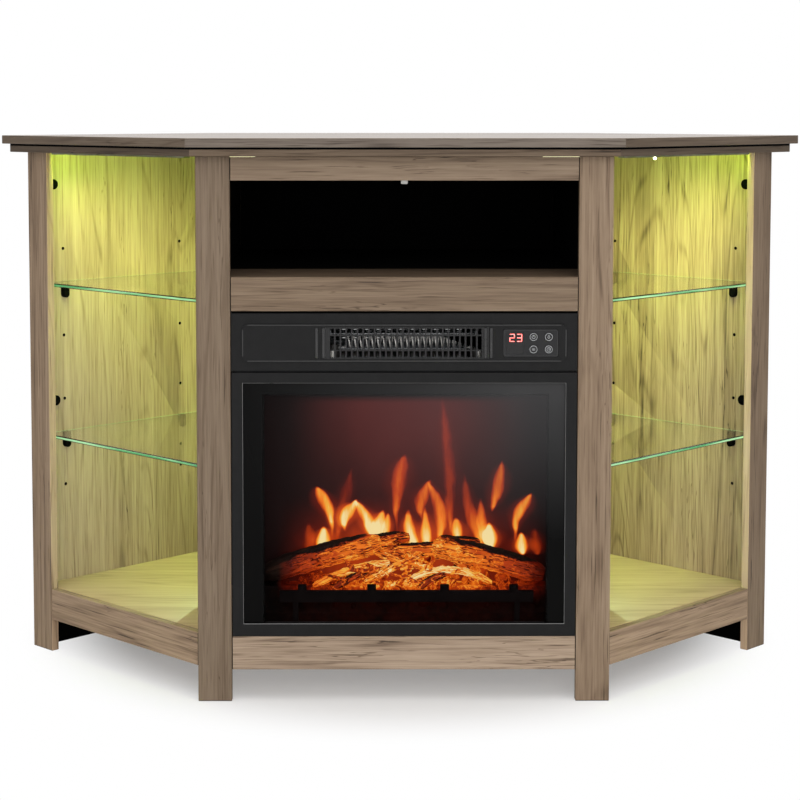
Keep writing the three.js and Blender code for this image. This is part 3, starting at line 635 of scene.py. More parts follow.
@dataclass(frozen=True)
class Bark:
    """Moulded bark lit from within: orange with dark cracks along the log and a charred back.

    The char starts at the share char_from of the radius above the log's middle line.
    """

    name: str
    start: Vector
    end: Vector
    radius: float
    heat: float = 0.5
    lines: float = 0.35
    char_from: float = 0.6
    fineness: float = 1.0
    reach: float = 182 * MM

    def material(self) -> Material:
        """The finish of one log.

        Returns:
            The material.
        """
        recipe = Recipe(self.name)
        unrolled = recipe.node("ShaderNodeTexCoord", output="UV")
        place = recipe.coordinates()
        length, girth = (self.end - self.start).length / MM, math.tau * self.radius / MM
        scales = (girth / 6.0 * self.fineness, length / 20.0 * self.fineness, 1.0)
        ridges = recipe.drawn_noise(unrolled, scales, 4.0, 0.6)
        crossing = recipe.drawn_noise(place, (48.0, 48.0, 85.0), 3.0, 0.55)
        cracks = abs(ridges - 0.52).ramp(0.045, 0.004)
        veins = abs(crossing - 0.5).ramp(0.03, 0.002)
        cloud = recipe.noise(place, 30.0, 3.0)
        slope = (self.end.z - self.start.z) / (self.end.x - self.start.x)
        along = (recipe.axis(place, 0) - self.start.x) * slope + self.start.z
        above = (recipe.axis(place, 2) - along) * (1 / self.radius) + (cloud - 0.5) * 0.9
        char = above.ramp(self.char_from, self.char_from + 0.35)
        near = nearness(recipe, place, self.reach) ** 0.8
        body = (cloud - 0.5) * 0.75 + (ridges - 0.5) * 0.75 + self.heat
        heat = (body + 0.22 + veins * self.lines * 0.8 - cracks * 0.56) * near * 0.85 - char * 0.8
        colour = recipe.stops(
            (ridges - cracks * 0.25).clamped(),
            (0.25, (0.002, 0.0012, 0.0008)),
            (0.55, (0.012, 0.005, 0.0025)),
            (0.8, (0.04, 0.017, 0.008)),
        )
        return recipe.surface(
            base_color=colour,
            roughness=0.8 + (ridges - 0.5) * 0.2,
            specular_ior_level=0.2,
            emission_color=recipe.stops(heat.clamped(), *HEAT_STOPS),
            emission_strength=0.95,
            normal=recipe.bump(ridges - cracks * 0.6, 2.0 * MM, 0.9),
        )


@dataclass(frozen=True)
class Coal:
    """Charred lumps with a glow in their cracks, which fades below the grate and to the sides."""

    name: str
    dark_below: float
    heat: float = 0.4
    reach: float = 185 * MM

    def material(self) -> Material:
        """The finish of the coals.

        Returns:
            The material.
        """
        recipe = Recipe(self.name)
        place = recipe.coordinates()
        lumps = recipe.noise(place, 120.0, 3.0, 0.6)
        glow = recipe.noise(place, 45.0, 3.0, 0.6)
        veins = abs(recipe.noise(place, 90.0, 3.0, 0.6) - 0.5).ramp(0.04, 0.002)
        near = nearness(recipe, place, self.reach)
        dark, bright = self.dark_below - 12 * MM, self.dark_below + 10 * MM
        lit = recipe.axis(place, 2).ramp(dark, bright) * 0.98 + 0.02
        warmth = (glow - 0.5) * 1.5 + (lumps - 0.5) * 0.8 + veins * 0.35 + self.heat
        black, brown = (0.0006, 0.0004, 0.0003), (0.004, 0.0018, 0.0012)
        return recipe.surface(
            base_color=recipe.blend(lumps.ramp(0.35, 0.7), black, brown),
            roughness=0.8 + (lumps - 0.5) * 0.2,
            specular_ior_level=0.05,
            emission_color=recipe.stops((warmth * near * lit).clamped(), *HEAT_STOPS),
            emission_strength=0.95,
            normal=recipe.bump(lumps, 1.5 * MM, 0.8),
        )


class Bench:
    """Modelling by operators, on one object at a time."""

    @staticmethod
    def mode(name: str) -> None:
        """Enters edit mode or object mode."""
        bpy.ops.object.mode_set(mode=name)

    @classmethod
    def clear(cls) -> None:
        """Leaves edit mode and deselects everything."""
        if bpy.context.mode != "OBJECT":
            cls.mode("OBJECT")
        bpy.ops.object.select_all(action="DESELECT")

    @classmethod
    def take(cls, *pieces: Piece) -> None:
        """Selects objects.

        Args:
            pieces: the only objects to select, the active one first.
        """
        cls.clear()
        for piece in pieces:
            piece.select_set(True)
        bpy.context.view_layer.objects.active = pieces[0]

    @classmethod
    def edit(cls, piece: Piece) -> None:
        """Enters edit mode.

        Args:
            piece: the object, all of which is selected.
        """
        cls.take(piece)
        cls.mode("EDIT")
        bpy.ops.mesh.select_all(action="SELECT")

    @staticmethod
    def named(name: str) -> Piece:
        """Names the object that was just added.

        Args:
            name: its name.

        Returns:
            The object.
        """
        piece = bpy.context.object
        piece.name = piece.data.name = name
        return piece

    @classmethod
    def settle(cls, piece: Piece) -> Piece:
        """Puts an object's place, turn and size into its mesh.

        Args:
            piece: the object.

        Returns:
            The same object.
        """
        cls.take(piece)
        bpy.ops.object.transform_apply(location=True, rotation=True, scale=True)
        return piece

    @classmethod
    def block(cls, name: str, low: Sequence[float], high: Sequence[float]) -> Piece:
        """Adds a block.

        Args:
            name: the object's name.
            low: its lowest corner.
            high: its highest corner.

        Returns:
            The block, its place in its mesh.
        """
        cls.clear()
        low, high = Vector(low), Vector(high)
        bpy.ops.mesh.primitive_cube_add(size=1.0, location=(low + high) / 2, scale=high - low)
        return cls.settle(cls.named(name))

    @classmethod
    def rod(cls, name: str, start: Vector, end: Vector, radius: float, sides: int = 24) -> Piece:
        """Adds a round rod.

        Args:
            name: the object's name.
            start: the middle of its first end.
            end: the middle of its second end.
            radius: its radius.
            sides: how many sides it has.

        Returns:
            The rod, its place in its mesh.
        """
        cls.clear()
        bpy.ops.mesh.primitive_cylinder_add(
            vertices=sides,
            radius=radius,
            depth=(end - start).length,
            location=(start + end) / 2,
            rotation=(end - start).to_track_quat("Z", "Y").to_euler(),
        )
        return cls.settle(cls.named(name))

    @staticmethod
    def link(name: str, data: bpy.types.ID) -> Piece:
        """Adds an object.

        Args:
            name: its name.
            data: what it shows.

        Returns:
            The object.
        """
        piece = bpy.data.objects.new(name, data)
        bpy.context.scene.collection.objects.link(piece)
        return piece

    @classmethod
    def copy_of(cls, node: str, name: str) -> Piece:
        """Copies a CAD node's mesh, merged and with its flat faces whole.

        Args:
            node: the CAD node's name.
            name: the copy's name.

        Returns:
            The copy.
        """
        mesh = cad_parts[node].data.copy()
        mesh.materials.clear()
        mesh.name = name
        piece = cls.link(name, mesh)
        cls.edit(piece)
        bpy.ops.mesh.remove_doubles(threshold=0.01 * MM)
        bpy.ops.mesh.dissolve_limited(angle_limit=math.radians(0.5))
        bpy.ops.mesh.delete_loose()
        cls.mode("OBJECT")
        return piece

    @classmethod
    def ease(cls, piece: Piece, width: float, segments: int = 2, limit: float = 50.0) -> None:
        """Rounds the sharp edges.

        Args:
            piece: the object.
            width: how far from each edge the rounding starts.
            segments: its number of facets.
            limit: the least angle of an edge that is rounded, in degrees.
        """
        cls.take(piece)
        modifier = piece.modifiers.new("eased edges", "BEVEL")
        modifier.width, modifier.segments = width, segments
        modifier.limit_method, modifier.angle_limit = "ANGLE", math.radians(limit)
        bpy.ops.object.modifier_apply(modifier=modifier.name)

    @classmethod
    def smooth(cls, piece: Piece, angle: float = 40.0) -> None:
        """Shades the object smooth, except over edges sharper than angle in degrees."""
        cls.take(piece)
        bpy.ops.object.shade_smooth_by_angle(angle=math.radians(angle))

    @classmethod
    def pick_faces(cls, piece: Piece, test: Test) -> None:
        """Enters edit mode with some faces selected.

        Args:
            piece: the object.
            test: what those faces pass.
        """
        cls.edit(piece)
        bpy.ops.mesh.select_mode(type="FACE")
        bpy.ops.mesh.select_all(action="DESELECT")
        cls.mode("OBJECT")
        for face in piece.data.polygons:
            face.select = test(face.center, face.normal)
        cls.mode("EDIT")

    @classmethod
    def slice(cls, piece: Piece, point: Sequence[float], normal: Sequence[float]) -> None:
        """Cuts the object's faces along a plane and keeps both sides.

        Args:
            piece: the object.
            point: a point of the plane.
            normal: the plane's normal.
        """
        cls.edit(piece)
        bpy.ops.mesh.bisect(plane_co=tuple(point), plane_no=tuple(normal))
        cls.mode("OBJECT")

    @classmethod
    def slice_at(cls, piece: Piece, *cuts: Cut) -> None:
        """Cuts the object's faces square to an axis and keeps both sides.

        Args:
            piece: the object.
            cuts: each cut's axis and its place there.
        """
        for axis, place in cuts:
            normal = Vector([float(number == axis) for number in range(3)])
            cls.slice(piece, normal * place, normal)

    @classmethod
    def merge(cls, name: str, pieces: Sequence[Piece]) -> Piece:
        """Joins objects.

        Args:
            name: the name of the whole.
            pieces: the objects.

        Returns:
            The whole.
        """
        cls.take(*pieces)
        bpy.ops.object.join()
        return cls.named(name)


def paint(piece: Piece, finish: Material, others: Sequence[Painted] = ()) -> None:
    """Gives an object its finish, and the faces that pass a test another one.

    Args:
        piece: the object.
        finish: the material of all faces that no test takes.
        others: further materials, each with its test.
    """
    materials, faces = piece.data.materials, piece.data.polygons
    materials.clear()
    materials.append(finish)
    for face in faces:
        face.material_index = 0
    for number, (other, test) in enumerate(others, start=1):
        materials.append(other)
        for face in faces:
            if test(face.center, face.normal):
                face.material_index = number


def deliver(
    piece: Piece,
    slot: str,
    finish: Material,
    others: Sequence[Painted] = (),
    body: str = "stand",
    replaced: Sequence[str] = (),
) -> None:
    """Dresses a piece, lets it ride with a body, and reports it.

    Args:
        piece: the object.
        slot: the record's material slot of its finish; not used.
        finish: its material.
        others: further materials, each with the test for its faces.
        body: the body that carries it.
        replaced: the CAD nodes that it stands for.
    """
    paint(piece, finish, others)
    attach(piece, body)
    if replaced:
        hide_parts(*replaced)
    log.info("%s: %d faces on %s", piece.name, len(piece.data.polygons), body)


def redress(
    node: str,
    name: str,
    slot: str,
    finish: Material,
    others: Sequence[Painted] = (),
    width: float = 0.0,
    segments: int = 2,
    limit: float = 50.0,
    smooth: float = 0.0,
    cuts: Sequence[Cut] = (),
    body: str = "stand",
) -> None:
    """Puts an eased and dressed copy in a CAD node's place.

    Args:
        node: the CAD node.
        name: the copy's name.
        slot: the record's material slot that it takes its finish from.
        finish: its material.
        others: further materials, each with the test for its faces.
        width: how far from each edge its rounding starts.
        segments: the number of facets of that rounding.
        limit: the least angle of an edge that is rounded, in degrees.
        smooth: the angle in degrees up to which it is shaded smooth.
        cuts: the planes along which its faces are cut, to paint them.
        body: the body that carries it.
    """
    piece = Bench.copy_of(node, name)
    if width:
        Bench.ease(piece, width, segments, limit)
    Bench.slice_at(piece, *cuts)
    if smooth:
        Bench.smooth(piece, smooth)
    deliver(piece, slot, finish, others, body, [node])


def dress_node(node: str, finish: Material, slot: str) -> None:
    """Gives a CAD node that stays in view its finish.

    Args:
        node: the CAD node.
        finish: its material.
        slot: the record's material slot of its finish; not used.
    """
    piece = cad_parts[node]
    paint(piece, finish)
    log.info("%s: kept, %s", node, finish.name)


def area_light(
    name: str,
    place: Sequence[float],
    turn: Euler,
    size: tuple[float, float],
    power: float,
    colour: Colour = (1.0, 1.0, 1.0),
    spread: float = math.pi,
    unseen: Sequence[str] = (),
) -> None:
    """Hangs up a soft lamp that the camera doesn't see.

    Args:
        name: its name.
        place: where it hangs.
        turn: the way that it is turned.
        size: its two lengths.
        power: its power in watts.
        colour: its colour.
        spread: the angle into which it shines.
        unseen: the further kinds of rays that don't meet it.
    """
    data = bpy.data.lights.new(name, "AREA")
    data.shape = "RECTANGLE"
    data.size, data.size_y = size
    data.energy, data.spread, data.color = power, spread, colour
    lamp = Bench.link(name, data)
    lamp.location, lamp.rotation_euler = place, turn
    for ray in ("camera", *unseen):
        setattr(lamp, f"visible_{ray}", False)


SIDES = (("left", -1), ("right", 1))


def reach_of(node: str) -> tuple[float, float]:
    """How far from the stand's middle plane a CAD node of one side starts and ends."""
    low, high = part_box(node)
    return min(abs(low.x), abs(high.x)), max(abs(low.x), abs(high.x))


def eased_end(direction: Vector) -> Test:
    """The test for a board's eased front edges across its run, which lie in a joint's shade."""
    return lambda middle, normal: 0.3 < abs(normal.dot(direction)) < 0.95 and normal.y < -0.2


@dataclass
class Carcass:
    """The boards: eased copies of the CAD boards, each with its own cut of oak."""

    edge: float = 0.9 * MM
    board: float = 12 * MM
    shadow_line: float = 3 * MM
    lit_strip: float = 120 * MM
    painted_glow_ends: tuple[float, float] = (-196 * MM, 181 * MM)
    slant: float = math.radians(45)
    panel_skin: float = 1 * MM
    panel_margin: float = 20 * MM
    # Painted light and shade: these tones, and those passed to single boards, are set partly by how
    # light falls on each board and partly by the boards' own tone.
    post_tones: tuple[float, float] = (0.46, 0.74)
    outer_post_tones: tuple[float, float] = (0.9, 0.64)
    panel_tones: tuple[float, float] = (1.04, 1.36)
    cap_radius: float = 7.5 * MM
    cap_depth: float = 1.6 * MM
    cap_sink: float = 1 * MM
    cap_edge: float = 0.5 * MM
    cap_inset: float = 24 * MM
    cap_heights: tuple[float, float] = (680 * MM, 362 * MM)

    def build(self) -> None:
        """Builds and dresses every board and the caps of its fittings."""
        # Painted shade: dull black for faces in shade, at the joints, under the top, inside the
        # media compartment and low in the bays.
        self.painted_shade = shade_black("painted_shade_black")
        across, up = Grain.SIDEWAYS, Grain.UPWARDS
        self._top()
        self._sub_top()
        self._top_rail()
        # Painted shade: the rails' eased ends at their joints are black.
        shaded = [(self.painted_shade, eased_end(Vector((1, 0, 0))))]
        # Painted light: the bottom rail's paler tone stands partly for light from the floor.
        self._board("mid_rail", across, others=shaded, rings=16.0, tone=0.58)
        self._board("bottom_rail", across, others=shaded, rings=16.0, tone=1.04, grey=0.14)
        for number, (side, sign) in enumerate(SIDES):
            self._posts(number, side, sign)
            self._panel(side, sign, self.panel_tones[number])
            self._caps(side, sign)
            # Painted shade: the divider's faces towards the media compartment are black.
            inside = lambda middle, normal, sign=sign: normal.x * sign < -0.5
            self._board(f"divider_{side}", up, others=[(self.painted_shade, inside)])
        # Painted light: the bottom board's pale tone stands partly for the bays' light.
        self._board("bottom_board", across, tone=1.58, contrast=0.6, flecks=0.4)
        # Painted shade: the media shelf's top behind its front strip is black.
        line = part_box("media_shelf")[0].y + self.lit_strip
        in_painted_shade = lambda middle, normal: normal.z > 0.5 and middle.y > line
        dark = [(self.painted_shade, in_painted_shade)]
        self._board("media_shelf", across, others=dark, cuts=[(1, line)], tone=0.5)
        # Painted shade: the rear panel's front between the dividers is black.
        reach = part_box("divider_right")[0].x
        in_painted_shade = lambda middle, normal: normal.y < -0.5 and abs(middle.x) < reach
        cuts = [(0, -reach), (0, reach)]
        self._board("rear_panel", up, others=[(self.painted_shade, in_painted_shade)], cuts=cuts)

    def _oak(self, node: str, grain: Grain, turn: float = 0.0, **looks: float) -> Material:
        """A board's own cut of oak, its pattern moved at random from its name.

        Args:
            node: the board's name.
            grain: the way of its grain.
            turn: the angle of its face from the front.
            looks: further values.

        Returns:
            The material.
        """
        draw = random.Random(node)
        shift = tuple(draw.uniform(-3, 3) for _ in range(3))
        return Oak(f"oak_{node}", grain, turn, shift, **looks).material()

    def _board(
        self,
        node: str,
        grain: Grain,
        turn: float = 0.0,
        others: Sequence[Painted] = (),
        cuts: Sequence[Cut] = (),
        **looks: float,
    ) -> None:
        """One board in place of its CAD node.

        Args:
            node: the CAD node.
            grain: the way of its grain.
            turn: the angle of its face from the front.
            others: further finishes, each with the test for its faces.
            cuts: the planes along which its faces are cut, to paint them.
            looks: further values of its oak.
        """
        oak = self._oak(node, grain, turn, **looks)
        redress(node, f"{node}_eased", "oak", oak, others, self.edge, cuts=cuts)

    def _slanted_edges(self, node: str, **looks: float) -> list[Painted]:
        """A top's two slanted front edges, whose grain runs along them.

        Args:
            node: the CAD node.
            looks: further values of their oak.

        Returns:
            Their finishes, each with the test for its faces.
        """
        edges = []
        for side, sign in SIDES:
            outward = Vector((sign, -1, 0)).normalized()
            facing = lambda middle, normal, outward=outward: (
                normal.dot(outward) > 0.6 and normal.x * outward.x > 0.3
            )
            oak = self._oak(f"{node}_{side}", Grain.SIDEWAYS, -sign * self.slant, **looks)
            edges.append((oak, facing))
        return edges

    def _top(self) -> None:
        """The top board, its upper face satin and also painted paler and greyer as a painted sheen.
        """
        face = Oak("oak_top_face_painted_sheen", Grain.SIDEWAYS, tone=1.08, grey=0.25, coat=0.66).material()
        upper = lambda middle, normal: normal.z > 0.9
        # Painted shade: the slanted edges take a darker tone than the front edge.
        others = [(face, upper), *self._slanted_edges("top_board", tone=0.36, grey=0.1)]
        self._board("top_board", Grain.SIDEWAYS, others=others, tone=0.5, grey=0.42)

    def _sub_top(self) -> None:
        """The second board, with a painted shadow line along its edges under the top."""
        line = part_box("sub_top_board")[1].z - self.shadow_line
        # Painted shadow: a black band along the edges just under the top.
        shaded = lambda middle, normal: middle.z > line and normal.z < 0.9
        # Painted shade: the slanted edges are darker than the front edge.
        others = [*self._slanted_edges("sub_top_board", tone=0.27), (self.painted_shade, shaded)]
        self._board("sub_top_board", Grain.SIDEWAYS, others=others, cuts=[(2, line)], tone=0.42)

    def _top_rail(self) -> None:
        """The rail under the sub-top; its upper edges glow at both ends as painted light, and are
        painted shade between.
        """
        left, right = self.painted_glow_ends
        joint = eased_end(Vector((1, 0, 0)))
        upper = lambda middle, normal: 0.3 < normal.z < 0.95 and normal.y < -0.2
        between = lambda middle: left < middle.x < right
        painted_glow_faces = lambda middle, normal: upper(middle, normal) and not between(middle)
        painted_shade_faces = lambda middle, normal: (
            joint(middle, normal) or (upper(middle, normal) and between(middle))
        )
        # Painted light: the upper eased edges beyond both ends glow; between them and at the joints
        # they are black as painted shade.
        painted_glow = Lamp("painted_leak_light", (0.85, 0.85, 0.45), 1.6).material()
        others, cuts = [(self.painted_shade, painted_shade_faces), (painted_glow, painted_glow_faces)], [(0, left), (0, right)]
        looks = {"rings": 16.0, "tone": 0.67, "grey": 0.04}
        self._board("top_rail", Grain.SIDEWAYS, others=others, cuts=cuts, **looks)

    def _posts(self, number: int, side: str, sign: int) -> None:
        """One side's two posts and the rail between them.

        Args:
            number: 0 for the left side and 1 for the right one.
            side: left or right.
            sign: -1 for the left side and 1 for the right one.
        """
        across, up, turn = Grain.SIDEWAYS, Grain.UPWARDS, -sign * self.slant
        # Painted shade: the eased ends of the posts and of the angled rail at their joints are
        # black.
        ends = (self.painted_shade, eased_end(Vector((0, 0, 1))))
        tone = self.post_tones[number]
        self._board(f"front_post_{side}", up, others=[ends], rings=18.0, tone=tone)
        # Painted light: the outer post's inner edge takes a paler oak for the bay's light falling
        # on it.
        inward = Vector((-sign, -1, 0)).normalized()
        pale = self._oak(f"post_edge_{side}", up, turn, tone=1.6, contrast=0.6)
        lit = (pale, lambda middle, normal: normal.dot(inward) > 0.7)
        tone = self.outer_post_tones[number]
        self._board(f"outer_post_{side}", up, turn, [ends, lit], rings=16.0, tone=tone)
        ends = (self.painted_shade, eased_end(Vector((sign, 1, 0)).normalized()))
        self._board(f"angled_rail_{side}", across, turn, [ends], rings=16.0, tone=1.12)

    def _panel(self, side: str, sign: int, tone: float) -> None:
        """One bay's side panel, black as painted shade below the bay's floor and in its holes.

        Args:
            side: left or right.
            sign: -1 for the left side and 1 for the right one.
            tone: how pale its oak is.
        """
        node = f"back_panel_{side}"
        floor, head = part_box("bottom_board")[0].z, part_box(node)[1].z
        depths = [abs(v.co.x) + v.co.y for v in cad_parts[node].data.vertices]
        shallow, deep = min(depths) + self.panel_skin, max(depths) - self.panel_skin
        (near, far), margin = reach_of(node), self.panel_margin
        # Painted shade: black below the bay's floor and inside the holes.
        low_inside = lambda middle, normal: middle.z < floor and normal.x * sign < -0.5
        holes = lambda middle, normal: (
            shallow < abs(middle.x) + middle.y < deep
            and near + margin < abs(middle.x) < far - margin
            and floor + margin < middle.z < head - margin
        )
        others = [(self.painted_shade, low_inside), (self.painted_shade, holes)]
        looks = {"tone": tone, "rings": 24.0, "staves": 13.0, "flecks": 0.75}
        self._board(node, Grain.UPWARDS, -sign * self.slant, others, [(2, floor)], **looks)

    def _caps(self, side: str, sign: int) -> None:
        """Round black caps over the fittings in one side panel.

        Args:
            side: left or right.
            sign: -1 for the left side and 1 for the right one.
        """
        low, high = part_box(f"outer_post_{side}")
        outward = Vector((sign, 1, 0)).normalized()
        backward = Vector((-sign, 1, 0)).normalized()
        corner = Vector((high.x if sign > 0 else low.x, high.y - self.board * math.sqrt(0.5), 0))
        face = corner + backward * (self.board + self.cap_inset) - outward * self.board
        caps = []
        for height in self.cap_heights:
            middle = Vector((face.x, face.y, height))
            start, end = middle + outward * self.cap_sink, middle - outward * self.cap_depth
            caps.append(Bench.rod("cap", start, end, self.cap_radius))
            Bench.ease(caps[-1], self.cap_edge)
        piece = Bench.merge(f"fitting_caps_{side}", caps)
        Bench.smooth(piece)
        deliver(piece, "support_rubber", fitting_black(f"fitting_black_{side}"))


@dataclass
class Bays:
    """Glass shelves, their supports, the light bars and the remote control's receiver."""

    slant: float = math.radians(45)
    glass_edge: float = 1.2 * MM
    tab_edge: float = 1.2 * MM
    support_edge: float = 0.7 * MM
    channel_edge: float = 0.4 * MM
    bar_inset: float = 7 * MM
    lit_width: float = 9 * MM
    lit_drop: float = 3.5 * MM
    bare_lamp_share: float = 0.245
    bare_lamp_drop: float = 1.6 * MM
    bare_lamp_radius: float = 2.2 * MM
    back_power: float = 1.27
    back_tilt: float = math.radians(84)
    down_power: float = 1.6
    down_tilt: float = math.radians(42)
    down_spread: float = math.radians(94)
    light: Colour = (0.48, 1.0, 0.03)
    paler_light: Colour = (0.86, 0.98, 0.34)
    fill_power: float = 0.57
    fill_light: Colour = (0.57, 1.0, 0.7)
    fill_size: tuple[float, float] = (160 * MM, 580 * MM)
    fill_offsets: tuple[float, float] = (30 * MM, 120 * MM)
    fill_height: float = 370 * MM
    fill_turn: float = math.radians(75)

    def build(self) -> None:
        """Builds both bays."""
        clear = ClearGlass("shelf_glass").material()
        rims = [(GlassEdge("shelf_glass_edge_painted_glow").material(), lambda m, normal: abs(normal.z) < 0.3)]
        rubber = fitting_black("support_black")
        eased = {"width": self.support_edge, "limit": 40.0, "smooth": 35.0}
        for side, sign in SIDES:
            for place in (f"upper_{side}", f"lower_{side}"):
                node, body = f"glass_shelf_{place}", f"shelf_{place}"
                name = f"pane_{place}"
                redress(node, name, "clear_glass", clear, rims, self.glass_edge, 1, body=body)
                for end in ("front", "rear", "divider"):
                    node = f"support_{place}_{end}"
                    redress(node, f"{node}_eased", "support_rubber", rubber, **eased)
            self._light_bar(side, sign)
        grey = Plain("receiver_grey", (0.36, 0.36, 0.35), (0.5, 0.5, 0.48), 0.4).material()
        eased = {"width": self.tab_edge, "segments": 3, "smooth": 40.0}
        redress("light_receiver", "receiver_tab", "receiver_plastic", grey, **eased)

    def _light_bar(self, side: str, sign: int) -> None:
        """One light bar: its channel, and the light that it throws back and down.

        Args:
            side: left or right.
            sign: -1 for the left bay and 1 for the right one.
        """
        node, name = f"light_bar_{side}", f"light_channel_{side}"
        dim = Lamp(name, (0.05, 0.055, 0.015), 0.2).material()
        redress(node, name, "lamp_diffuser", dim, width=self.channel_edge)
        (near, far), (low, high) = reach_of(node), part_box(node)
        start = Vector((sign * (near + self.bar_inset), low.y + self.bar_inset, low.z))
        end = Vector((sign * (far - self.bar_inset), high.y - self.bar_inset, low.z))
        place = (start + end) / 2 - Vector((0, 0, self.lit_drop))
        size = ((end - start).length, self.lit_width)
        for aim, tilt, spread, power, colour in (
            ("back", self.back_tilt, math.pi, self.back_power, self.light),
            ("down", self.down_tilt, self.down_spread, self.down_power, self.paler_light),
        ):
            turn = Euler((tilt, 0, sign * self.slant))
            name = f"bay_light_{aim}_{side}"
            area_light(name, place, turn, size, power, colour, spread, ["transmission"])
        self._bay_fill(side, sign)
        if side == "right":
            drop = Vector((0, 0, self.bare_lamp_drop))
            self._bare_lamp(start.lerp(end, self.bare_lamp_share) - drop)

    def _bare_lamp(self, place: Vector) -> None:
        """The one lamp of the row that stands below its channel and is seen directly.

        Args:
            place: its middle.
        """
        Bench.clear()
        bpy.ops.mesh.primitive_uv_sphere_add(
            segments=16, ring_count=8, radius=self.bare_lamp_radius, location=place
        )
        piece = Bench.settle(Bench.named("bare_lamp"))
        Bench.smooth(piece, 80.0)
        deliver(piece, "lamp_diffuser", Lamp("bare_lamp", (0.95, 1.0, 0.6), 9.0).material())

    def _bay_fill(self, side: str, sign: int) -> None:
        """The soft light that the studio leaves in a bay, thrown onto its side panel.

        Args:
            side: left or right.
            sign: -1 for the left bay and 1 for the right one.
        """
        node = f"divider_{side}"
        outward, backward = self.fill_offsets
        x, y = sign * (reach_of(node)[1] + outward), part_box(node)[0].y + backward
        turn = Euler((math.pi / 2, 0, -sign * self.fill_turn))
        looks = {"colour": self.fill_light, "unseen": ["glossy", "transmission"]}
        place, size = (x, y, self.fill_height), self.fill_size
        area_light(f"bay_fill_{side}", place, turn, size, self.fill_power, **looks)


class Sign(Enum):
    """A button's printed sign: the radius of its ring, if any, and its strokes' ends, in mm."""

    HEAT = (0.0, *(((x, -1.6), (x, 1.6)) for x in (-1.6, 0.0, 1.6)))
    TIMER = (2.4, ((0.0, 0.0), (0.0, 1.7)), ((0.0, 0.0), (1.3, 0.0)))
    POWER = (2.1, ((0.0, 0.4), (0.0, 2.9)))
    FLAME = (
        0.0,
        ((0.0, 2.6), (-1.6, -0.6)),
        ((0.0, 2.6), (1.6, -0.6)),
        ((-1.6, -0.6), (0.0, -2.2)),
        ((1.6, -0.6), (0.0, -2.2)),
    )


FIGURE_BARS = {  # each bar's place from the middle, in half widths across and quarter heights up
    "a": (0, 2),
    "b": (1, 1),
    "c": (1, -1),
    "d": (0, -2),
    "e": (-1, -1),
    "f": (-1, 1),
    "g": (0, 0),
}


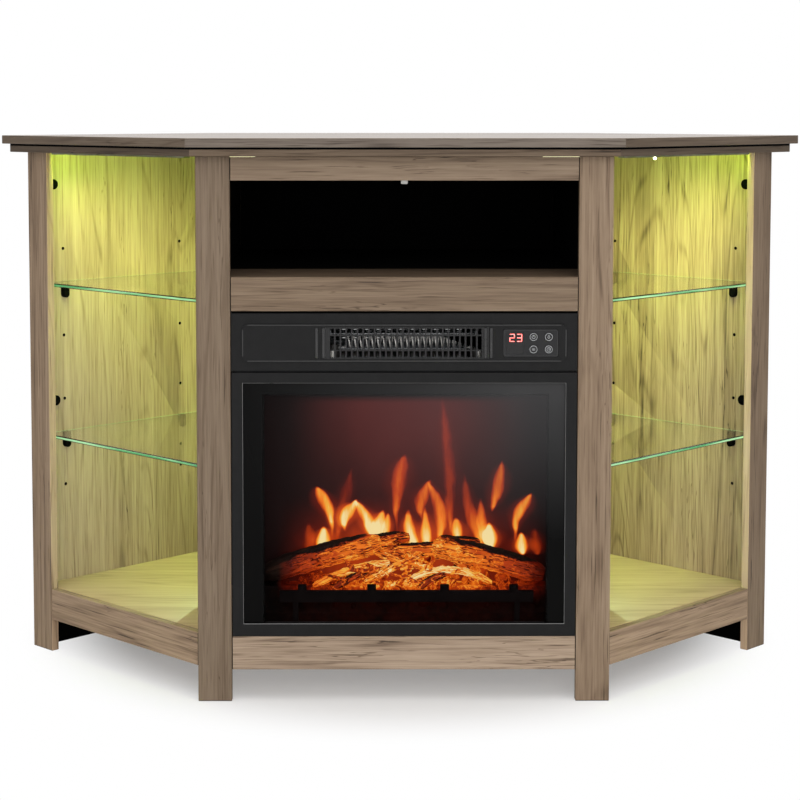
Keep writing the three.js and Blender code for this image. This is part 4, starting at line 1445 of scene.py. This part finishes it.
@dataclass
class FireFront:
    """Window, black front, outlet grille and control panel of the fire."""

    edge: float = 1.1 * MM
    pane_edge: float = 0.4 * MM
    slat_edge: float = 0.35 * MM
    overlay_edge: float = 0.6 * MM
    key_edge: float = 0.3 * MM
    bar_edge: float = 0.08 * MM
    clear_low: tuple[float, float, float] = (-186 * MM, 0.0, 60 * MM)
    clear_high: tuple[float, float, float] = (190 * MM, 0.0, 412 * MM)
    rib_places: tuple[float, ...] = (-115.6 * MM, -106.6 * MM, 107.2 * MM, 114.7 * MM)
    rib_width: float = 4.2 * MM
    rib_proud: float = 1.3 * MM
    rib_seat: float = 1.5 * MM
    rib_margin: float = 1 * MM
    rib_edge: float = 1.2 * MM
    digit_width: float = 6.0 * MM
    digit_height: float = 9.4 * MM
    digit_places: tuple[float, ...] = (142.2 * MM, 151.8 * MM)
    digit_centre: float = 488.6 * MM
    display_depth: float = 0.8 * MM
    stroke: float = 1.05 * MM
    print_height: float = 0.12 * MM
    line_width: float = 0.55 * MM
    line_inset: float = 1.2 * MM
    window_outline: tuple[float, float, float] = (213.3 * MM, 105.3 * MM, 428.3 * MM)
    outline_reach: float = 3.5 * MM
    pad_outline: tuple[float, float, float] = (213.9 * MM, 457.2 * MM, 506.2 * MM)
    pad_line: float = 1.3 * MM
    pad_corner: float = 7 * MM
    lip_setback: float = 0.4 * MM
    lip_depth: float = 2 * MM
    lip_seat: float = 0.6 * MM
    lip_clearance: float = 0.2 * MM
    key_ring: tuple[float, float] = (4.7 * MM, 0.32 * MM)
    sign_ring: float = 0.28 * MM
    sign_stroke: float = 0.3 * MM

    def build(self) -> None:
        """Builds the fire's front."""
        dark, pale = (0.006, 0.006, 0.0063), (0.0095, 0.0095, 0.0098)
        looks = {"speckle": 900, "texture": 0.05 * MM, "gloss": 0.14}
        black = Plain("satin_black_front", dark, pale, 0.46, **looks).material()
        # Painted highlight: the eased edges round the window are pale grey.
        line = Plain("window_edge_painted_highlight", (0.12, 0.12, 0.12), (0.19, 0.19, 0.19), 0.3).material()
        lit = [(line, self._along_window)]
        eased = {"width": self.edge, "segments": 3}
        redress("window_frame", "window_frame_eased", "black_front", black, lit, **eased)
        redress("fascia", "fascia_eased", "black_front", black, **eased)
        self._lip()
        glass = FireGlass("window_glass", Vector(self.clear_low), Vector(self.clear_high))
        eased = {"width": self.pane_edge, "segments": 1}
        redress("window_glass", "window_pane", "fire_glass", glass.material(), **eased)
        dark, pale = (0.008, 0.008, 0.0085), (0.014, 0.014, 0.0145)
        trim = Plain("grille_black", dark, pale, 0.34, gloss=0.3).material()
        eased = {"width": self.slat_edge, "segments": 1}
        redress("outlet_grille", "grille_slats", "black_front", trim, **eased)
        self._ribs()
        self._panel()
        self._buttons()

    def _lip(self) -> None:
        """The lip on the fascia's upper edge, which closes the slot under the middle rail, black as
        painted shade.
        """
        low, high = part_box("fascia")
        behind, ahead = high.y - self.lip_setback, high.y - self.lip_setback - self.lip_depth
        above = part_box("mid_rail")[0].z - self.lip_clearance
        foot, head = (low.x, ahead, high.z - self.lip_seat), (high.x, behind, above)
        deliver(Bench.block("fascia_lip", foot, head), "black_front", shade_black("lip_painted_shade"))

    def _along_window(self, middle: Vector, normal: Vector) -> bool:
        """Whether a face is one of the eased edges round the window, painted pale grey as a painted
        highlight.

        Args:
            middle: its middle.
            normal: its normal.

        Returns:
            The answer.
        """
        (half, foot, head), near = self.window_outline, self.outline_reach
        inside = abs(middle.x) < half + near and foot - near < middle.z < head + near
        distance = min(abs(abs(middle.x) - half), abs(middle.z - foot), abs(middle.z - head))
        return inside and distance < near and -0.93 < normal.y < -0.2

    def _ribs(self) -> None:
        """Upright ribs beside the outlet."""
        # Partly painted highlight: the ribs are a paler black than the fascia, with their own lower
        # roughness.
        black = Plain("rib_black_painted_highlight", (0.012, 0.012, 0.0125), (0.02, 0.02, 0.021), 0.28).material()
        low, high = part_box("outlet_grille")
        face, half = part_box("fascia")[0].y, self.rib_width / 2
        foot, head = low.z + self.rib_margin, high.z - self.rib_margin
        near, far = face - self.rib_proud, face + self.rib_seat
        for number, x in enumerate(self.rib_places, start=1):
            corners = (x - half, near, foot), (x + half, far, head)
            rib = Bench.block(f"outlet_rib_{number}", *corners)
            Bench.ease(rib, self.rib_edge, 4)
            Bench.smooth(rib)
            deliver(rib, "black_front", black)

    def _panel(self) -> None:
        """The control panel's overlay, the lines on the front, one a painted highlight round the
        pad, and the display's figures.
        """
        box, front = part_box("control_panel"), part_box("fascia")[0].y
        face, slot = box[0].y, "control_overlay"
        dark, pale = (0.009, 0.009, 0.01), (0.014, 0.014, 0.015)
        overlay = Plain("control_overlay", dark, pale, 0.4, gloss=0.25).material()
        dark, pale = (0.004, 0.004, 0.0045), (0.008, 0.008, 0.009)
        window = Plain("display_window", dark, pale, 0.2, gloss=0.4).material()
        sunk = lambda middle, normal: normal.y < -0.5 and middle.y > face + self.display_depth / 2
        eased = {"width": self.overlay_edge}
        redress("control_panel", "control_overlay", slot, overlay, [(window, sunk)], **eased)
        bars = []
        for x, lit in zip(self.digit_places, ("abged", "abgcd")):
            bars += self._digit(x, face + self.display_depth, lit)
        self._outline("panel_outline", box, self.line_inset, self.line_width)
        # Painted highlight: a grey line round the raised pad's edge.
        half, foot, head = self.pad_outline
        pad = (Vector((-half, front, foot)), Vector((half, front, head)))
        self._outline("pad_edge_painted_highlight", pad, self.pad_line / 2, self.pad_line, self.pad_corner)
        red = Lamp("red_figures", (1.0, 0.09, 0.07), 2.2, 900).material()
        deliver(Bench.merge("display_figures", bars), slot, red)

    def _outline(
        self, name: str, box: tuple[Vector, Vector], inset: float, width: float, corner: float = 0.0
    ) -> None:
        """A thin line round a flat face.

        Args:
            name: the piece's name.
            box: the corners of the solid whose front it runs round.
            inset: how far inside the face's edge it runs.
            width: its width.
            corner: the length that it leaves out at each corner.
        """
        margin, y = Vector((inset, 0, inset)), box[0].y
        low, high = box[0] + margin, box[1] - margin
        runs = [(low.x + corner, z, high.x - corner, z) for z in (low.z, high.z)]
        runs += [(x, low.z + corner, x, high.z - corner) for x in (low.x, high.x)]
        thick = Vector((width / 2, self.print_height, width / 2))
        bars = [
            Bench.block("line", Vector((left, y, foot)) - thick, Vector((right, y, head)) + thick)
            for left, foot, right, head in runs
        ]
        dark, pale = (0.022, 0.022, 0.022), (0.035, 0.035, 0.035)
        grey = Plain(f"{name}_grey", dark, pale, 0.45, gloss=0.3).material()
        deliver(Bench.merge(name, bars), "control_overlay", grey)

    def _digit(self, x: float, y: float, lit: str) -> list[Piece]:
        """One seven-bar figure.

        Args:
            x: its middle across.
            y: the face behind it.
            lit: the letters of its lit bars, a at the top and then clockwise, g in the middle.

        Returns:
            The lit bars.
        """
        side, quarter, thick = self.digit_width / 2, self.digit_height / 4, self.stroke / 2
        bars = []
        for letter in lit:
            across, up = FIGURE_BARS[letter]
            wide, tall = (thick, quarter) if across else (side, thick)
            middle = Vector((x + across * side, y, self.digit_centre + up * quarter))
            reach = Vector((wide, self.print_height, tall))
            bars.append(Bench.block("bar", middle - reach, middle + reach))
            Bench.ease(bars[-1], self.bar_edge, 1)
        return bars

    def _buttons(self) -> None:
        """Four push buttons with a printed ring and a plain sign each."""
        black = Plain("key_black", (0.01, 0.01, 0.011), (0.016, 0.016, 0.017), 0.4, gloss=0.25)
        cap = black.material()
        ink = Plain("grey_print", (0.3, 0.31, 0.32), (0.42, 0.43, 0.44), 0.5).material()
        for sign in Sign:
            kind = sign.name.lower()
            node, body = f"button_{kind}", f"{kind}_button"
            eased = {"width": self.key_edge, "smooth": 50.0, "body": body}
            redress(node, f"{kind}_key", "key_plastic", cap, **eased)
            low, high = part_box(node)
            middle = Vector(((low.x + high.x) / 2, low.y, (low.z + high.z) / 2))
            marks = [self._ring(middle, *self.key_ring)]
            radius, *strokes = sign.value
            if radius:
                marks.append(self._ring(middle, radius * MM, self.sign_ring))
            for ends in strokes:
                start, end = (middle + Vector((x, 0, z)) * MM for x, z in ends)
                marks.append(Bench.rod("stroke", start, end, self.sign_stroke, 8))
            deliver(Bench.merge(f"{kind}_sign", marks), "key_plastic", ink, body=body)

    @staticmethod
    def _ring(middle: Vector, radius: float, thickness: float) -> Piece:
        """A thin printed ring on a button's face.

        Args:
            middle: its middle.
            radius: its radius.
            thickness: half its line's width.

        Returns:
            The ring.
        """
        Bench.clear()
        bpy.ops.mesh.primitive_torus_add(
            location=middle,
            rotation=(math.pi / 2, 0, 0),
            major_radius=radius,
            minor_radius=thickness,
            major_segments=40,
            minor_segments=6,
        )
        ring = Bench.named("ring")
        ring.scale = (1, 1, 0.4)
        return Bench.settle(ring)


@dataclass(frozen=True)
class LogPlan:
    """One log: its ends as shares of the pile, its radius and bow in metres, and how it glows."""

    start: tuple[float, float, float]
    end: tuple[float, float, float]
    radius: float
    bow: float = 0.0
    rough: float = 4.0 * MM
    heat: float = 0.5
    lines: float = 0.35
    char_from: float = 0.62


BACK_LOGS = (
    LogPlan((-0.49, 0.45, 0.2), (-0.08, 0.55, 0.76), 16.5 * MM, 3 * MM),
    LogPlan((0.1, 0.55, 0.7), (0.495, 0.45, 0.18), 16.5 * MM, 3 * MM),
    LogPlan((-0.26, 0.8, 0.62), (0.02, 0.8, 0.82), 11.0 * MM, heat=0.3),
    LogPlan((-0.08, 0.7, 0.55), (0.16, 0.7, 0.6), 12.0 * MM, heat=0.45),
    LogPlan((0.12, 0.8, 0.74), (0.27, 0.8, 0.7), 9.5 * MM, heat=0.3),
)
FRONT_LOGS = (
    LogPlan((-0.32, 0.2, 0.0), (-0.05, 0.3, 0.42), 5.0 * MM, 6 * MM, 2.5 * MM, 0.9, 0.2, 2.5),
    LogPlan((-0.25, 0.1, -0.05), (-0.1, 0.2, 0.3), 5.0 * MM, 3 * MM, 2.5 * MM, 0.2, 0.6, 0.9),
    LogPlan((0.02, 0.25, 0.12), (0.31, 0.2, 0.06), 5.0 * MM, 15 * MM, 2.5 * MM, 0.92, 0.2, 2.5),
    LogPlan((0.05, 0.1, -0.05), (0.15, 0.2, 0.24), 5.5 * MM, 2 * MM, 2.5 * MM, 0.18, 0.6, 0.9),
    LogPlan((-0.14, 0.15, 0.08), (0.06, 0.4, 0.56), 5.0 * MM, 0.0, 2.5 * MM, 0.55, 0.5, 1.0),
    LogPlan((0.1, 0.15, 0.3), (-0.1, 0.4, 0.58), 4.6 * MM, 0.0, 2.5 * MM, 0.52, 0.5, 1.0),
    LogPlan((0.22, 0.3, 0.3), (0.12, 0.5, 0.64), 5.0 * MM, 2 * MM, 2.5 * MM, 0.5, 0.5, 1.0),
)


@dataclass
class FireBed:
    """Logs, coals, ember bed, grate and the lit screen behind them."""

    seed: int = 11
    coal_count: int = 130
    coal_size: tuple[float, float] = (3.5 * MM, 8 * MM)
    coal_middle: float = 10 * MM
    coal_scatter: float = 80 * MM
    coal_margin: float = 12 * MM
    coal_setback: float = 3 * MM
    heap_reach: float = 150 * MM
    heap_height: float = 42 * MM
    bed_front_height: float = 18 * MM
    bed_cuts: tuple[int, int] = (120, 14)
    twig_count: int = 20
    twig_rough: float = 1.2 * MM
    facet: float = 2.6 * MM
    grate_edge: float = 1.0 * MM
    glow_depth: float = 8 * MM
    flames_middle: float = 12 * MM

    def build(self) -> None:
        """Builds the fire bed."""
        self.low, self.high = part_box("log_set")
        self.bed_low, self.bed_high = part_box("ember_bed")
        self.random = random.Random(self.seed)
        self.coal = Coal("glowing_coal", self.low.z - self.glow_depth).material()
        for number, plan in enumerate(BACK_LOGS + FRONT_LOGS, start=1):
            self._planned_log(f"log_{number}", plan, ["log_set"] if number == 1 else [])
        self._twigs()
        self._bed()
        self._coals()
        looks = {"texture": 0.4 * MM, "gloss": 0.06}
        iron = Plain("grate_iron", (0.0015, 0.001, 0.001), (0.004, 0.003, 0.003), 0.8, **looks)
        redress("fire_grate", "grate_bar", "grate_iron", iron.material(), width=self.grate_edge)
        picture = FlameLight("flame_light", FLAMES, self.flames_middle)
        dress_node("flame_screen", picture.material(), "flame_diffuser")

    def _at(self, across: float, deep: float, up: float) -> Vector:
        """A point of the log pile.

        Args:
            across: the share of its width, from its middle.
            deep: the share of its depth.
            up: the share of its height.

        Returns:
            The point.
        """
        span, foot = self.high - self.low, self.low
        middle = (foot.x + self.high.x) / 2
        return Vector((middle + across * span.x, foot.y + deep * span.y, foot.z + up * span.z))

    def _log(
        self, name: str, start: Vector, end: Vector, radius: float, rough: float, bow: float = 0.0
    ) -> Piece:
        """One log: a rod, divided, bowed upwards and roughened like bark.

        Args:
            name: its name.
            start: the middle of its first end.
            end: the middle of its second end.
            radius: its mean radius.
            rough: how far the bark stands, in metres.
            bow: how far its middle rises.

        Returns:
            The log.
        """
        sides = max(10, int(math.tau * radius / self.facet))
        piece = Bench.rod(name, start, end, radius, sides)
        direction, length = (end - start).normalized(), (end - start).length
        Bench.pick_faces(piece, lambda middle, normal: abs(normal.dot(direction)) > 0.9)
        for _ in range(2):
            bpy.ops.mesh.inset(thickness=radius * 0.3)
        Bench.mode("OBJECT")
        rings = max(6, int(length / self.facet))
        for cut in range(1, rings):
            Bench.slice(piece, start.lerp(end, cut / rings), direction)
        for vertex in piece.data.vertices:
            share = (vertex.co - start).dot(direction) / length
            axis = start + direction * (share * length)
            vertex.co = axis + (vertex.co - axis) * (1 - 0.5 * abs(2 * share - 1) ** 7)
            vertex.co.z += 4 * bow * share * (1 - share)
        self._roughen(piece, radius * 0.95, rough)
        self._roughen(piece, radius * 0.32, rough * 0.55)
        Bench.smooth(piece, 60.0)
        return piece

    @staticmethod
    def _roughen(piece: Piece, size: float, height: float) -> None:
        """Moves the surface in and out by a procedural texture.

        Args:
            piece: the object.
            size: the length of the texture's pattern.
            height: how far it moves, in metres.
        """
        texture = bpy.data.textures.new(f"{piece.name}_{size:.4f}", "CLOUDS")
        texture.noise_scale = size
        Bench.take(piece)
        modifier = piece.modifiers.new("rough surface", "DISPLACE")
        modifier.texture, modifier.texture_coords = texture, "GLOBAL"
        modifier.strength, modifier.mid_level = height, 0.5
        bpy.ops.object.modifier_apply(modifier=modifier.name)

    def _planned_log(self, name: str, plan: LogPlan, replaced: Sequence[str]) -> None:
        """One log of a plan, with its own bark.

        Args:
            name: its name.
            plan: its place and looks.
            replaced: the CAD nodes that it stands for.
        """
        start, end = self._at(*plan.start), self._at(*plan.end)
        piece = self._log(name, start, end, plan.radius, plan.rough, plan.bow)
        lift = Vector((0, 0, plan.bow * 0.65))
        glow = (plan.heat, plan.lines, plan.char_from)
        bark = Bark(f"bark_{name}", start + lift, end + lift, plan.radius, *glow)
        deliver(piece, "log_resin", bark.material(), replaced=replaced)

    def _twigs(self) -> None:
        """Short crossing twigs over the middle of the pile."""
        draw, twigs = self.random, []
        for number in range(self.twig_count):
            across = draw.gauss(0.0, 0.14)
            up = draw.uniform(0.02, 0.5) * (1 - min(1.0, abs(across) * 2))
            start = self._at(across, draw.uniform(-0.1, 0.2), up)
            reach = draw.choice((-1, 1)) * draw.uniform(0.03, 0.08)
            end = self._at(across + reach, draw.uniform(0.05, 0.4), up + draw.uniform(0.02, 0.2))
            radius = draw.uniform(1.5, 3.0) * MM
            twigs.append(self._log(f"twig_{number}", start, end, radius, self.twig_rough))
        start, end = self._at(-0.4, 0, 0.3), self._at(0.4, 0, 0.3)
        bark = Bark("bark_twigs", start, end, 4 * MM, 0.6, 0.3, 9.0, fineness=0.06)
        deliver(Bench.merge("twigs", twigs), "log_resin", bark.material())

    def _bed(self) -> None:
        """The ember bed: its CAD form with a finely broken surface."""
        piece = Bench.copy_of("ember_bed", "embers")
        Bench.edit(piece)
        bpy.ops.mesh.quads_convert_to_tris()
        Bench.mode("OBJECT")
        for axis, count in enumerate(self.bed_cuts):
            low, high = self.bed_low[axis], self.bed_high[axis]
            places = (low + number / count * (high - low) for number in range(1, count))
            Bench.slice_at(piece, *((axis, place) for place in places))
        deliver(piece, "ember_resin", self.coal, replaced=["ember_bed"])

    def _coals(self) -> None:
        """Loose coals: one rough lump, copied over the bed's slope and shelf and under the logs."""
        Bench.clear()
        bpy.ops.mesh.primitive_ico_sphere_add(subdivisions=3, radius=1.0)
        lump = Bench.named("lump")
        self._roughen(lump, 0.7, 0.5)
        draw, coals, low, high = self.random, [], self.bed_low, self.bed_high
        shelf = low.y + 0.38 * (high.y - low.y)
        front_top = low.z + self.bed_front_height
        for number in range(self.coal_count):
            x = draw.gauss(self.coal_middle, self.coal_scatter)
            x = max(low.x + self.coal_margin, min(high.x - self.coal_margin, x))
            y = low.y + self.coal_setback + draw.random() * (high.y - low.y) * 0.7
            slope = min(1.0, (y - low.y) / (shelf - low.y))
            z = front_top + slope * (high.z - front_top)
            size = draw.uniform(*self.coal_size)
            if number % 3 == 0:  # this one is heaped under the logs
                y = self.low.y + draw.uniform(0.35, 0.75) * (self.high.y - self.low.y)
                share = 1 - min(1.0, abs(x - self.coal_middle) / self.heap_reach)
                z = self.low.z + draw.random() * (share * self.heap_height)
                size *= 1.5
            lengths = (size, size * draw.uniform(0.6, 1.0), size * draw.uniform(0.5, 0.9))
            coal = Bench.link("coal", lump.data.copy())
            coal.location = (x, y, z + size * 0.2)
            coal.rotation_euler = [draw.uniform(0, math.tau) for _ in range(3)]
            coal.scale = lengths
            coals.append(Bench.settle(coal))
        bpy.data.objects.remove(lump)
        piece = Bench.merge("coals", coals)
        Bench.smooth(piece, 60.0)
        deliver(piece, "ember_resin", self.coal)


SCREEN_SCALE = 1.355 * MM  # size on the screen of one pixel of the 800 pixel photograph
SCREEN_X, SCREEN_X_PIXEL = -59 * MM, 359
SCREEN_Z, SCREEN_Z_PIXEL = 796 * MM, 100.8


def tongue(
    foot: tuple[float, float],
    tip: tuple[float, float],
    width: float,
    bow: float = 0.0,
    swell: float = 0.35,
    heat: float = 0.8,
    cooling: float = 0.35,
) -> Flame:
    """A flame by where it stands in the photograph.

    Args:
        foot: the pixel of its foot.
        tip: the pixel of its tip.
        width: its greatest width in pixels.
        bow: how many pixels it bows to the right at half height.
        swell: the share of its height at which it is widest.
        heat: its warmth, from 0 to 1.
        cooling: the share of its warmth that it loses towards the tip.

    Returns:
        The flame in metres.
    """
    x = SCREEN_X + (foot[0] - SCREEN_X_PIXEL) * SCREEN_SCALE
    low, high = (SCREEN_Z - (pixel[1] - SCREEN_Z_PIXEL) * SCREEN_SCALE for pixel in (foot, tip))
    width, lean, bow = (size * SCREEN_SCALE for size in (width, tip[0] - foot[0], bow))
    return Flame(x, low, high, width, lean, bow, swell, heat, cooling)


FLAMES = (
    tongue((332, 541), (316, 485), 13, 4, 0.72, 0.86, 0.1),
    tongue((322, 552), (323, 526), 16, 0, 0.45, 1.1, 0.2),
    tongue((344, 532), (357, 498), 15, -5, 0.62, 0.98, 0.1),
    tongue((371, 543), (354, 499), 14, 6, 0.6, 0.92, 0.1),
    tongue((377, 545), (382, 509), 13, -1, 0.5, 1.02, 0.25),
    tongue((383, 540), (388, 512), 8, 1, 0.5, 0.7, 0.3),
    tongue((336, 540), (352, 466), 12, -2, 0.5, 0.27, 0.4),
    tongue((399, 540), (405, 452), 17, -5, 0.72, 0.52, 0.25),
    tongue((415, 548), (408, 508), 12, -2, 0.3, 0.98, 0.35),
    tongue((427, 547), (425, 506), 11, 0, 0.3, 0.9, 0.4),
    tongue((421, 520), (431, 478), 15, -5, 0.6, 0.56, 0.1),
    tongue((437, 544), (427, 480), 14, 9, 0.55, 0.6, 0.2),
    tongue((451, 534), (443, 392), 13, 2, 0.45, 0.3, 0.3),
    tongue((458, 541), (457, 517), 11, 0, 0.4, 0.86, 0.3),
    tongue((483, 546), (463, 472), 13, -3, 0.4, 0.42, 0.4),
    tongue((489, 547), (481, 497), 12, -2, 0.4, 0.62, 0.4),
    tongue((492, 550), (491, 522), 15, 0, 0.42, 1.08, 0.2),
    tongue((493, 512), (503, 458), 13, 1, 0.5, 0.66, 0.3),
    tongue((516, 548), (532, 492), 13, -5, 0.72, 0.8, 0.1),
    tongue((523, 556), (523, 532), 15, 0, 0.45, 1.1, 0.2),
    tongue((539, 556), (537, 528), 14, 0, 0.4, 0.3, 0.4),
    tongue((306, 552), (309, 522), 14, 0, 0.4, 0.28, 0.4),
)


HIDDEN_FINISHES = (
    Plain("housing_black", (0.006, 0.006, 0.0065), (0.012, 0.012, 0.013), 0.55, gloss=0.15),
    Plain("blower_metal", (0.5, 0.51, 0.53), (0.62, 0.63, 0.65), 0.32, 1.0),
    Plain("motor_steel", (0.33, 0.34, 0.36), (0.46, 0.47, 0.49), 0.35, 1.0),
    Plain("mirror_foil", (0.7, 0.7, 0.72), (0.85, 0.85, 0.87), 0.12, 1.0),
    Plain("circuit_board", (0.012, 0.07, 0.026), (0.03, 0.14, 0.05), 0.35),
    Plain("inlet_rubber", (0.01, 0.01, 0.01), (0.022, 0.022, 0.022), 0.6),
)
HIDDEN_NODES = (  # for each of these finishes, its slot and the CAD nodes that take it
    ("housing_steel", "fire_housing"),
    ("blower_metal", "blower_wheel"),
    ("motor_steel", "blower_motor", "rotor_motor"),
    ("mirror_foil", "flame_rotor"),
    ("circuit_board", "flame_light_board"),
    ("inlet_rubber", "cord_inlet"),
)


@dataclass
class Workings:
    """Housing, heater, blower, flame light and mains inlet."""

    wire: float = 1.0 * MM
    lead: float = 8 * MM
    turns: int = 21
    steps: int = 24
    patch_heights: tuple[float, float] = (0.3, 0.72)

    def build(self) -> None:
        """Dresses what lies inside and behind the fire."""
        for finish, (slot, *nodes) in zip(HIDDEN_FINISHES, HIDDEN_NODES):
            material = finish.material()
            for node in nodes:
                dress_node(node, material, slot)
        self._terminals()
        self._coil()

    def _terminals(self) -> None:
        """The heater's terminals, painted dark, each with a pale glazed patch low at its outer
        corner.
        """
        dark, pale = (0.62, 0.6, 0.55), (0.74, 0.72, 0.67)
        ceramic = Plain("glazed_ceramic", dark, pale, 0.3, coat=0.4).material()
        dark, pale = (0.012, 0.011, 0.01), (0.03, 0.028, 0.026)
        for side, sign in SIDES:
            node = f"coil_terminal_{side}"
            low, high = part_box(node)
            foot, head = (low.z + (high.z - low.z) * share for share in self.patch_heights)
            inner = low.x + (high.x - low.x) / 2
            pale_patch = lambda middle, normal: foot < middle.z < head and (middle.x - inner) * sign > 0
            dark_finish = Plain(f"terminal_mica_{side}", dark, pale, 0.6).material()
            cuts = [(2, foot), (2, head), (0, inner)]
            redress(node, f"terminal_{side}", "ceramic", dark_finish, [(ceramic, pale_patch)], cuts=cuts)

    def _coil(self) -> None:
        """The heater's coil, wound from one wire."""
        low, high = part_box("heater_coil")
        centre, radius = (low + high) / 2, (high.z - low.z) / 2 - self.wire
        length, count = high.x - low.x - 2 * self.lead, self.turns * self.steps
        points = [(low.x, centre.y, centre.z - radius)]
        for step in range(count + 1):
            angle = math.tau * step / self.steps - math.pi / 2
            y, z = centre.y + radius * math.cos(angle), centre.z + radius * math.sin(angle)
            points.append((low.x + self.lead + length * step / count, y, z))
        points.append((high.x, centre.y, centre.z - radius))
        curve = bpy.data.curves.new("coil_wire", "CURVE")
        curve.dimensions, curve.use_fill_caps = "3D", True
        curve.bevel_depth, curve.bevel_resolution = self.wire, 2
        line = curve.splines.new("POLY")
        line.points.add(len(points) - 1)
        for point, place in zip(line.points, points):
            point.co = (*place, 1.0)
        Bench.take(Bench.link("coil_wire", curve))
        bpy.ops.object.convert(target="MESH")
        piece = Bench.named("coil_wire")
        Bench.smooth(piece, 70.0)
        dark, pale = (0.62, 0.6, 0.57), (0.85, 0.83, 0.8)
        wire = Plain("heater_wire", dark, pale, 0.35, 0.25, speckle=900).material()
        deliver(piece, "heater_wire", wire, replaced=["heater_coil"])


@dataclass
class Studio:
    """Floor, soft light and the camera at the photograph's place."""

    camera_place: tuple[float, float, float] = (-62.4 * MM, -2747.9 * MM, 788 * MM)
    tilt: float = math.radians(4.37)
    yaw: float = math.radians(0.17)
    lens: float = 85.89
    sensor: float = 36.0
    shift: tuple[float, float] = (0.0467, -0.18)
    sight: float = 60.0
    aim: tuple[float, float, float] = (0.0, 0.0, 0.38)
    floor_size: float = 14.0
    floor_drop: float = 0.5 * MM
    white_from: float = 0.4
    white_to: float = 0.58

    def build_camera(self) -> None:
        """Sets the camera."""
        data = bpy.data.cameras.new("camera")
        data.sensor_width, data.lens, data.clip_end = self.sensor, self.lens, self.sight
        data.shift_x, data.shift_y = self.shift
        camera = Bench.link("camera", data)
        camera.location = self.camera_place
        camera.rotation_euler = (math.pi / 2 - self.tilt, 0.0, -self.yaw)
        bpy.context.scene.camera = camera

    def build_light(self) -> None:
        """Sets the lamps, the world and the floor."""
        for name, place, size, power, unseen in (
            ("front", (0.2, -3.3, 1.0), 2.0, 56.0, ["glossy"]),
            ("key", (1.7, -2.2, 1.9), 1.6, 12.0, []),
            ("fill", (-2.2, -2.0, 1.5), 2.0, 10.0, []),
            ("top", (0.0, -0.9, 3.2), 3.0, 40.0, []),
        ):
            turn = (Vector(self.aim) - Vector(place)).to_track_quat("-Z", "Y").to_euler()
            area_light(name, place, turn, (size, size), power, unseen=unseen)
        self._world()
        self._floor()
        bpy.context.scene.view_settings.view_transform = "Standard"

    @staticmethod
    def _world() -> None:
        """Even pale light, white where it is seen or mirrored."""
        recipe = Recipe("studio", world=True)
        camera, through, mirrored = (
            recipe.node("ShaderNodeLightPath", output=f"Is {kind} Ray")
            for kind in ("Camera", "Transmission", "Glossy")
        )
        pale, white = (
            recipe.node("ShaderNodeBackground", None, {"Color": colour, "Strength": strength})
            for colour, strength in (((1.0, 0.985, 0.965), 0.4), ((1.0, 1.0, 1.0), 1.0))
        )
        mixed = recipe.mixed(camera.most(through).most(mirrored), pale, white)
        bpy.context.scene.world = recipe.finished(mixed)

    def _floor(self) -> None:
        """A pale floor that keeps the shadow near the stand and turns white further out."""
        Bench.clear()
        place = (0, 0, -self.floor_drop)
        bpy.ops.mesh.primitive_grid_add(
            x_subdivisions=8, y_subdivisions=8, size=self.floor_size, location=place
        )
        floor = Bench.settle(Bench.named("floor"))
        recipe = Recipe("pale_floor")
        centred = recipe.coordinates((0.0, -0.15, 0.0))
        far = recipe.node("ShaderNodeVectorMath", {"operation": "LENGTH"}, {0: centred}, 1)
        grain = recipe.noise(recipe.coordinates(), 40.0)
        colour = recipe.blend(grain, (0.86, 0.85, 0.835), (0.9, 0.89, 0.875))
        surface = recipe.principled(base_color=colour, roughness=0.55, specular_ior_level=0.25)
        white = recipe.node("ShaderNodeEmission", None, {0: (1.0, 1.0, 1.0), 1: 1.0})
        seen = recipe.node("ShaderNodeLightPath")
        share = (far.ramp(self.white_from, self.white_to) * 0.74 + 0.26) * seen
        floor.data.materials.append(recipe.finished(recipe.mixed(share, surface, white)))


def main() -> None:
    """Builds the sub-assemblies in order."""
    logging.basicConfig(level=logging.INFO, format="%(message)s")
    studio = Studio()
    studio.build_camera()
    for assembly in (Carcass(), Bays(), FireFront(), FireBed(), Workings()):
        assembly.build()
    studio.build_light()


if __name__ == "__main__":
    main()
